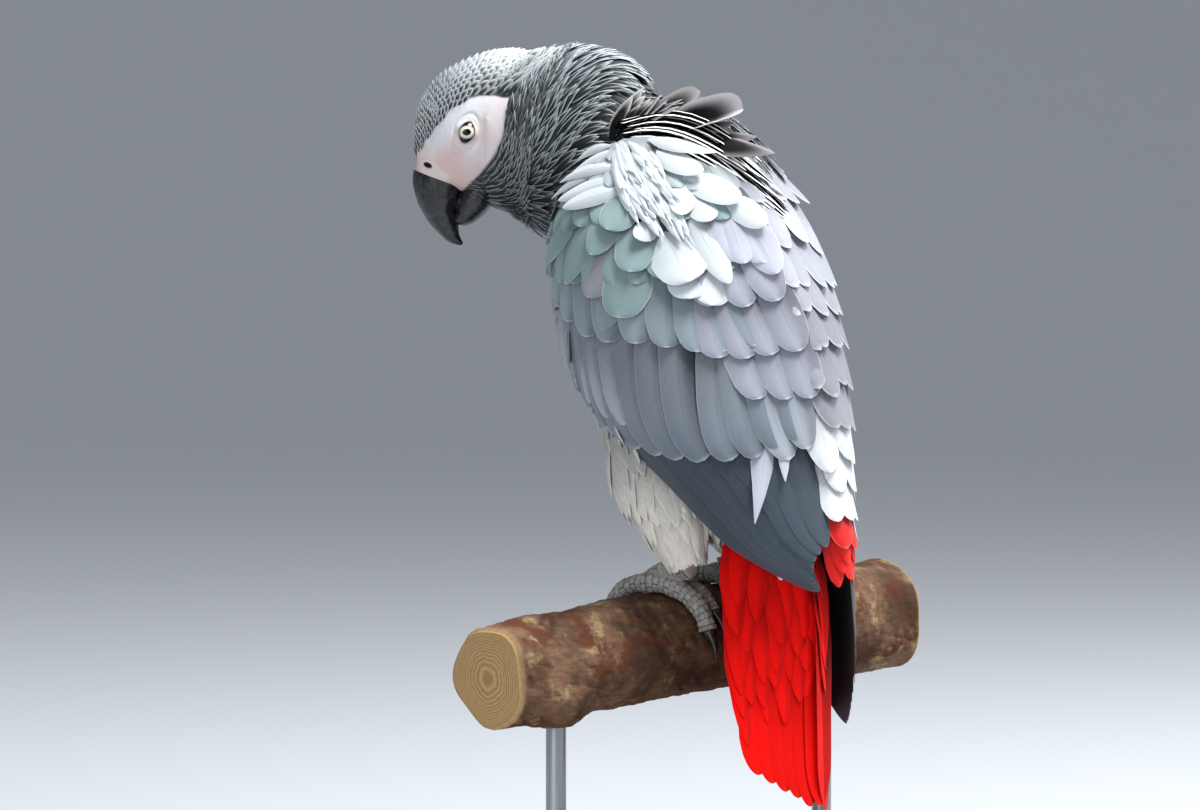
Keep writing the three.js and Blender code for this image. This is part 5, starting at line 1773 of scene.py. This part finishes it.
def plates(along, turn, rows, columns):
    """A brick pattern of raised plates: 1 in the middle of each, 0 in the grooves between."""
    line = along * rows
    a = line % 1
    b = (turn / (2 * np.pi) * columns + 0.5 * (np.floor(line) % 2)) % 1
    return ((1 - np.abs(2 * a - 1) ** 3.5) * (1 - np.abs(2 * b - 1) ** 5)) ** 0.6


def sleeve(surface, rows, columns, start, steps, high):
    """A closed tube over a limb: its own radius plus high times the plates and some low lumps."""
    t, turn = np.meshgrid(np.linspace(start, 1, steps), circle(SLEEVE_SIDES), indexing="ij")
    raised = plates((t - start) / (1 - start), turn - np.pi / 2 + np.pi / columns, rows, columns)
    lumps = 0.12 * np.sin(turn * 3 + 40 * t) * np.sin(23 * t)
    points, faces = capped_tube(surface(t, turn, -0.1 + high * raised + lumps))
    return points, faces, np.append(raised, [0, 0])


def joined_piece(name, parts, attribute):
    """Tubes with one value a point as one piece with outward faces."""
    values = np.concatenate([part[2] for part in parts])
    return face_outwards(make_mesh(name, *joined(parts), attributes={attribute: values}))


scute = Finish("scaly_foot", Roughness=0.62, Specular_IOR_Level=0.4)
spot = scute.place()
relief = scute.attribute("Relief", "Fac")
dust = scute.noise(spot, 420, 4)
plate_tone = scute.mix(dust.eased(0.35, 0.7), paint("a9a59f"), paint("86827d"))
scute.set(Base_Color=scute.mix(relief.eased(0.15, 0.75), paint("4f4a46"), plate_tone),
          Normal=scute.bump(dust + scute.cells(spot, 1500) * 0.4, 0.4, 0.15))
foot_parts = []
for side in SIDES.values():
    _, _, shank_path = leg_points(side)
    foot_parts.append(sleeve(tube_at(shank_path, TARSUS_RADII, UPWARDS), 9, 9, -0.05, 90, 0.5))
    foot_parts += [sleeve(toe_at(side, toe), 15, 7, -0.02, 150, 0.55) for toe in TOES]
finish_piece(joined_piece("foot_scales", foot_parts, "Relief"), scute.material, "scaly_foot")

# %% Claws
CLAW_PATH = [(2.3, 0.6), (6, 1.3), (9.4, 0.6), (12.4, -1.4)]  # forward of the toe's end, and out
CLAW_RADII = [2, 1.65, 1.1, 0.45]
CLAW_FROM = -0.35  # its root, inside the toe


def claw_at(side, toe):
    """The claw's surface, from inside the toe's end to its point."""
    before, end = toe_path(side, toe, np.array([0.86, 1.0]))
    onward = unit(end - before)
    outwards = end - on_perch(leg_points(side)[0], 0, 0)
    outwards = unit(outwards - perch_along * (outwards @ perch_along))
    path = [end + onward * forward + outwards * out for forward, out in CLAW_PATH]
    return tube_at(path, CLAW_RADII, perch_along)


def claw(side, toe):
    """A tube along the hook, drawn in at its hidden root and again towards its point."""
    t, turn = np.meshgrid(np.linspace(CLAW_FROM, 1.0, 60), circle(32), indexing="ij")
    point = -0.42 * ease(t, 0.86, 1.0)
    root = -0.5 * ease(-t, 0.1, 0.35)
    points, faces = capped_tube(claw_at(side, toe)(t, turn, point + root))
    return points, faces, np.append(t, [CLAW_FROM, 1])


nail = Finish("claw", Roughness=0.28, Specular_IOR_Level=0.55)
grain = nail.noise(nail.place(), 700, 4)
dark_nail = nail.mix(grain.eased(0.4, 0.7) * 0.5, paint("1a1a1c"), paint("3d3b3a"))
nail.set(Base_Color=nail.mix(nail.attribute("Along", "Fac").eased(0.1, -0.3), dark_nail, paint("57524e")),
         Normal=nail.bump(grain, 0.2, 0.1))
for name, side in SIDES.items():
    claws = joined_piece(f"claws_{name}", [claw(side, toe) for toe in TOES], "Along")
    finish_piece(claws, nail.material, "horn_black", *(f"claw_{name}_{toe}" for toe in TOES))

# %% [markdown]
# ## Perch
# A short length of branch. Its radius is the frame's own, with knots, and lumps, furrows and flakes of
# bark on top as real relief. Fine fibres, lichen and rust-brown patches are in the finish. The cut ends
# show growth rings.

# %% Branch surface
PERCH_BEVEL, BEVEL_LENGTH = 1.5, 2


def wavy(seed, *places):
    """A sum of sines of the given places, each with its own random frequency and phase, from -1 to 1."""
    own = np.random.default_rng(seed)
    total = 0
    for strength in (1.0, 0.7, 0.5, 0.4):
        phase = own.uniform(0, 2 * np.pi)
        for place in places:
            phase = phase + place * own.uniform(0.6, 1.6) / strength
        total = total + strength * np.sin(phase)
    return total / 2.6


def branch_radius(along, angle):
    """The frame's radius: ripples and a slow swell away from the feet, a knot below and a stub above."""
    away = ease(np.abs(along), 38, 75)
    ripple = 0.9 * np.sin(3 * angle + along / 17) + 0.6 * np.sin(5 * angle - along / 11)
    knot = 5.5 * bell(along, -84, 15) * bell(angle, 2.4, 0.8)
    stub = 4.5 * bell(along, 70, 13) * bell(angle, 0.9, 0.6)
    return PERCH_RADIUS + away * ripple + knot + stub + 1.2 * np.sin(along / 60) * away


def bark_relief(along, angle):
    """In mm: broad lumps and hollows, shallow furrows that wander lengthwise and fade, and flakes."""
    x, y = 21 * np.cos(angle), 21 * np.sin(angle)
    lumps = wavy(11, along / 16, x / 11, y / 11)
    wander = angle * PERCH_RADIUS + 4.0 * wavy(12, along / 12, x / 9, y / 9)
    furrow = np.abs(np.sin(wander / 3.4 + 2.2 * wavy(13, along / 10, x / 6, y / 6))) ** 0.5
    strength = ease(wavy(14, along / 13, x / 8, y / 8), -0.5, 0.6)
    flake = wavy(15, along / 3.1, x / 3.4, y / 3.4)
    grit = wavy(16, along / 1.1, x / 1.2, y / 1.2)
    return 0.75 * lumps + 0.65 * (furrow - 1) * strength + 0.32 * flake + 0.12 * grit


PERCH_SIDES = 240
half = PERCH_LENGTH / 2
rim = half - BEVEL_LENGTH
places = [np.linspace(-half, -rim, 8)[:-1], np.linspace(-rim, rim, 310), np.linspace(rim, half, 8)[1:]]
along, turn = np.meshgrid(np.concatenate(places), circle(PERCH_SIDES), indexing="ij")
angle = np.where(turn > np.pi, turn - 2 * np.pi, turn)
wood = ease(half - np.abs(along), 0, 3)
bark = bark_relief(along, angle)
bevel = PERCH_BEVEL * ease(np.abs(along), rim, half)
radius = branch_radius(along, angle) - bevel + bark * wood - 0.1
bow = -2 * ease(np.abs(along), 30, half)
branch_rings = on_perch(along, turn, radius) + bow[..., None] * perch_top


# %% Cut ends
CUT_ROWS = 25
inwards = np.linspace(1, 0.02, CUT_ROWS + 1)[1:, None]  # rows from the rim (1) to the middle


def cut_end(rim, outwards):
    """Rings from the rim to the middle of a cut end, raised a little by its growth rings."""
    middle = rim.mean(0)
    height = 0.12 * np.sin(inwards * 60 + 1.2 * np.sin(turn[:1] * 3)) - 0.5 * inwards**6
    return middle + (rim - middle) * inwards[..., None] + outwards * height[..., None]


near_cut, far_cut = cut_end(branch_rings[0], -perch_along), cut_end(branch_rings[-1], perch_along)
points, faces = capped_tube(np.concatenate([near_cut[::-1], branch_rings, far_cut]))
flat = np.zeros((CUT_ROWS, PERCH_SIDES))
ring = inwards + 0.02 * np.sin(3 * turn[:1]) + 0.008 * np.sin(11 * turn[:1])
depth = np.concatenate([flat, bark * wood, flat])
cut = np.concatenate([flat + 1, 1 - wood, flat + 1])
growth = np.concatenate([ring[::-1], 0 * along + 1.1, ring])
attributes = {
    "Depth": np.append(depth, [0, 0]), "Cut": np.append(cut, [1, 1]), "Growth": np.append(growth, [0, 0])
}
perch_piece = face_outwards(make_mesh("perch_branch", points, faces, attributes=attributes))

# %% Bark finish
bark_look = Finish("bark", Roughness=0.85, Specular_IOR_Level=0.25)
spot = bark_look.place()
turn_back = {"Vector": spot, "Rotation": (0, 0, float(PERCH_SKEW))}
turned = bark_look.node("ShaderNodeMapping", {}, turn_back)
fibres = bark_look.noise(bark_look.stretched(turned, (0.25, 1, 1)), 700, 5, 0.65)
blotch = bark_look.noise(turned, 38, 5, 0.6)
rust = bark_look.noise(turned, 55, 4, 0.6)
lichen = bark_look.noise(turned, 120, 5, 0.6)
depth = bark_look.attribute("Depth", "Fac")
tan = bark_look.mix(blotch.eased(0.38, 0.62), paint("4a3323"), paint("80614a"))
tan = bark_look.mix(rust.eased(0.50, 0.64) * 0.85, tan, paint("5a2a19"))
tan = bark_look.mix(lichen.eased(0.54, 0.66) * blotch.eased(0.42, 0.6) * 0.85, tan, paint("a8946c"))
tan = bark_look.mix(fibres.eased(0.35, 0.75) * 0.5, tan, paint("3a2819"))
# Darker the deeper the bark's relief goes.
tan = bark_look.mix(depth.eased(-0.2, -1.1) * 0.85, tan, paint("21150d"))
cut_share = bark_look.attribute("Cut", "Fac")
growth = bark_look.attribute("Growth", "Fac")
rings = (growth * growth * 75 + blotch * 2).sine()
end_grain = bark_look.mix(rings * 0.35 + 0.4, paint("c3a274"), paint("94703f"))
end_grain = bark_look.mix(fibres.eased(0.4, 0.8) * 0.25, end_grain, paint("6d4f2c"))
bark_look.set(
    Base_Color=bark_look.mix(cut_share, tan, end_grain),
    Normal=bark_look.bump(fibres + blotch * 0.6 + lichen * 0.5, 0.6, 0.5),
)
finish_piece(perch_piece, bark_look.material, "branch", "perch")

# %% [markdown]
# ## Stand
# A plain turned oval base of dark wood with an eased edge and a shallow step, and two steel rods that
# run up into the branch, each with a small collar at its foot.


# %% Turned pieces
def turned_piece(name, outline_points, centre, stretch=(1.0, 1.0), sides=128):
    """A profile of (radius, height) points carried round an axis, stretched to an oval."""
    radius, height = np.transpose(np.array(outline_points, float))
    a = circle(sides)
    rings = np.stack([radius[:, None] * np.cos(a) * stretch[0], radius[:, None] * np.sin(a) * stretch[1],
                      height[:, None] + 0 * a], -1) + centre
    return face_outwards(make_mesh(name, *capped_tube(rings), crease=np.radians(40)))


def eased_profile(corners, ease_mm):
    """Corner points with each inner corner cut round by a quadratic curve that starts ease_mm away."""
    corners = np.array(corners, float)
    out = [corners[:1]]
    for before, corner, after in zip(corners, corners[1:], corners[2:]):
        start = corner + unit(before - corner) * min(ease_mm, np.linalg.norm(before - corner) / 2)
        end = corner + unit(after - corner) * min(ease_mm, np.linalg.norm(after - corner) / 2)
        t = np.linspace(0, 1, 8)[:, None]
        out.append(start * (1 - t) ** 2 + corner * 2 * t * (1 - t) + end * t**2)
    return np.concatenate([*out, corners[-1:]])


# %% Base
BASE_LONG, BASE_WIDE, BASE_HIGH = 216, 156, 13
oval = (1.0, BASE_WIDE / BASE_LONG)
half_long = BASE_LONG / 2
base_corners = [(0.5, 0), (half_long - 1.2, 0), (half_long, 1.4), (half_long, 7.6), (half_long - 2.4, 9.0),
                (half_long - 3.0, BASE_HIGH), (0.5, BASE_HIGH)]
base_piece = turned_piece("display_base", eased_profile(base_corners, 1.6), -BIRD_AT, oval)
wood_look = Finish("dark_wood", Roughness=0.38, Coat_Weight=0.25, Coat_Roughness=0.25)
spot = wood_look.place()
warp = wood_look.noise(wood_look.stretched(spot, (1, 4, 4)), 6, 3)
bands = (wood_look.node("ShaderNodeSeparateXYZ", {}, (spot,), 1) * 420 + warp * 26).sine()
pores = wood_look.noise(wood_look.stretched(spot, (1, 30, 30)), 45, 4)
walnut = wood_look.mix(bands * 0.5 + 0.5, paint("4a2f1f"), paint("6d4930"))
walnut = wood_look.mix(pores.eased(0.5, 0.72) * 0.6, walnut, paint("2c1a10"))
wood_look.set(Base_Color=walnut, Normal=wood_look.bump(pores, 0.12, 0.2))
finish_piece(base_piece, wood_look.material, "base_wood", "stand_base")

# %% Rods
steel = Finish("steel", Metallic=1.0, Roughness=0.32)
brushed = steel.noise(steel.stretched(steel.place(), (1, 1, 0.02)), 2500, 3)
steel.set(Base_Color=steel.mix(brushed, paint("b9bcc0"), paint("8f9398")), Roughness=0.26 + brushed * 0.16,
          Normal=steel.bump(brushed, 0.08, 0.05))
ROD_RADIUS = 4
COLLAR = [(4, 0.1), (4, 2.2), (0.6, 3.4), (0, 5)]  # out from the rod and up from the base
for name in SIDES:
    low, high = (np.array(corner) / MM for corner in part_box(f"stand_rod_{name}"))
    centre = np.append((low + high)[:2] / 2, 0) - BIRD_AT
    collar = [(ROD_RADIUS + out, BASE_HIGH + up) for out, up in COLLAR]
    corners = [(0.3, BASE_HIGH + 0.1), *collar, (ROD_RADIUS, high[2]), (0.3, high[2])]
    rod = turned_piece(f"stand_rod_{name}_steel", eased_profile(corners, 0.5), centre, sides=64)
    finish_piece(rod, steel.material, "rod_steel", f"stand_rod_{name}")
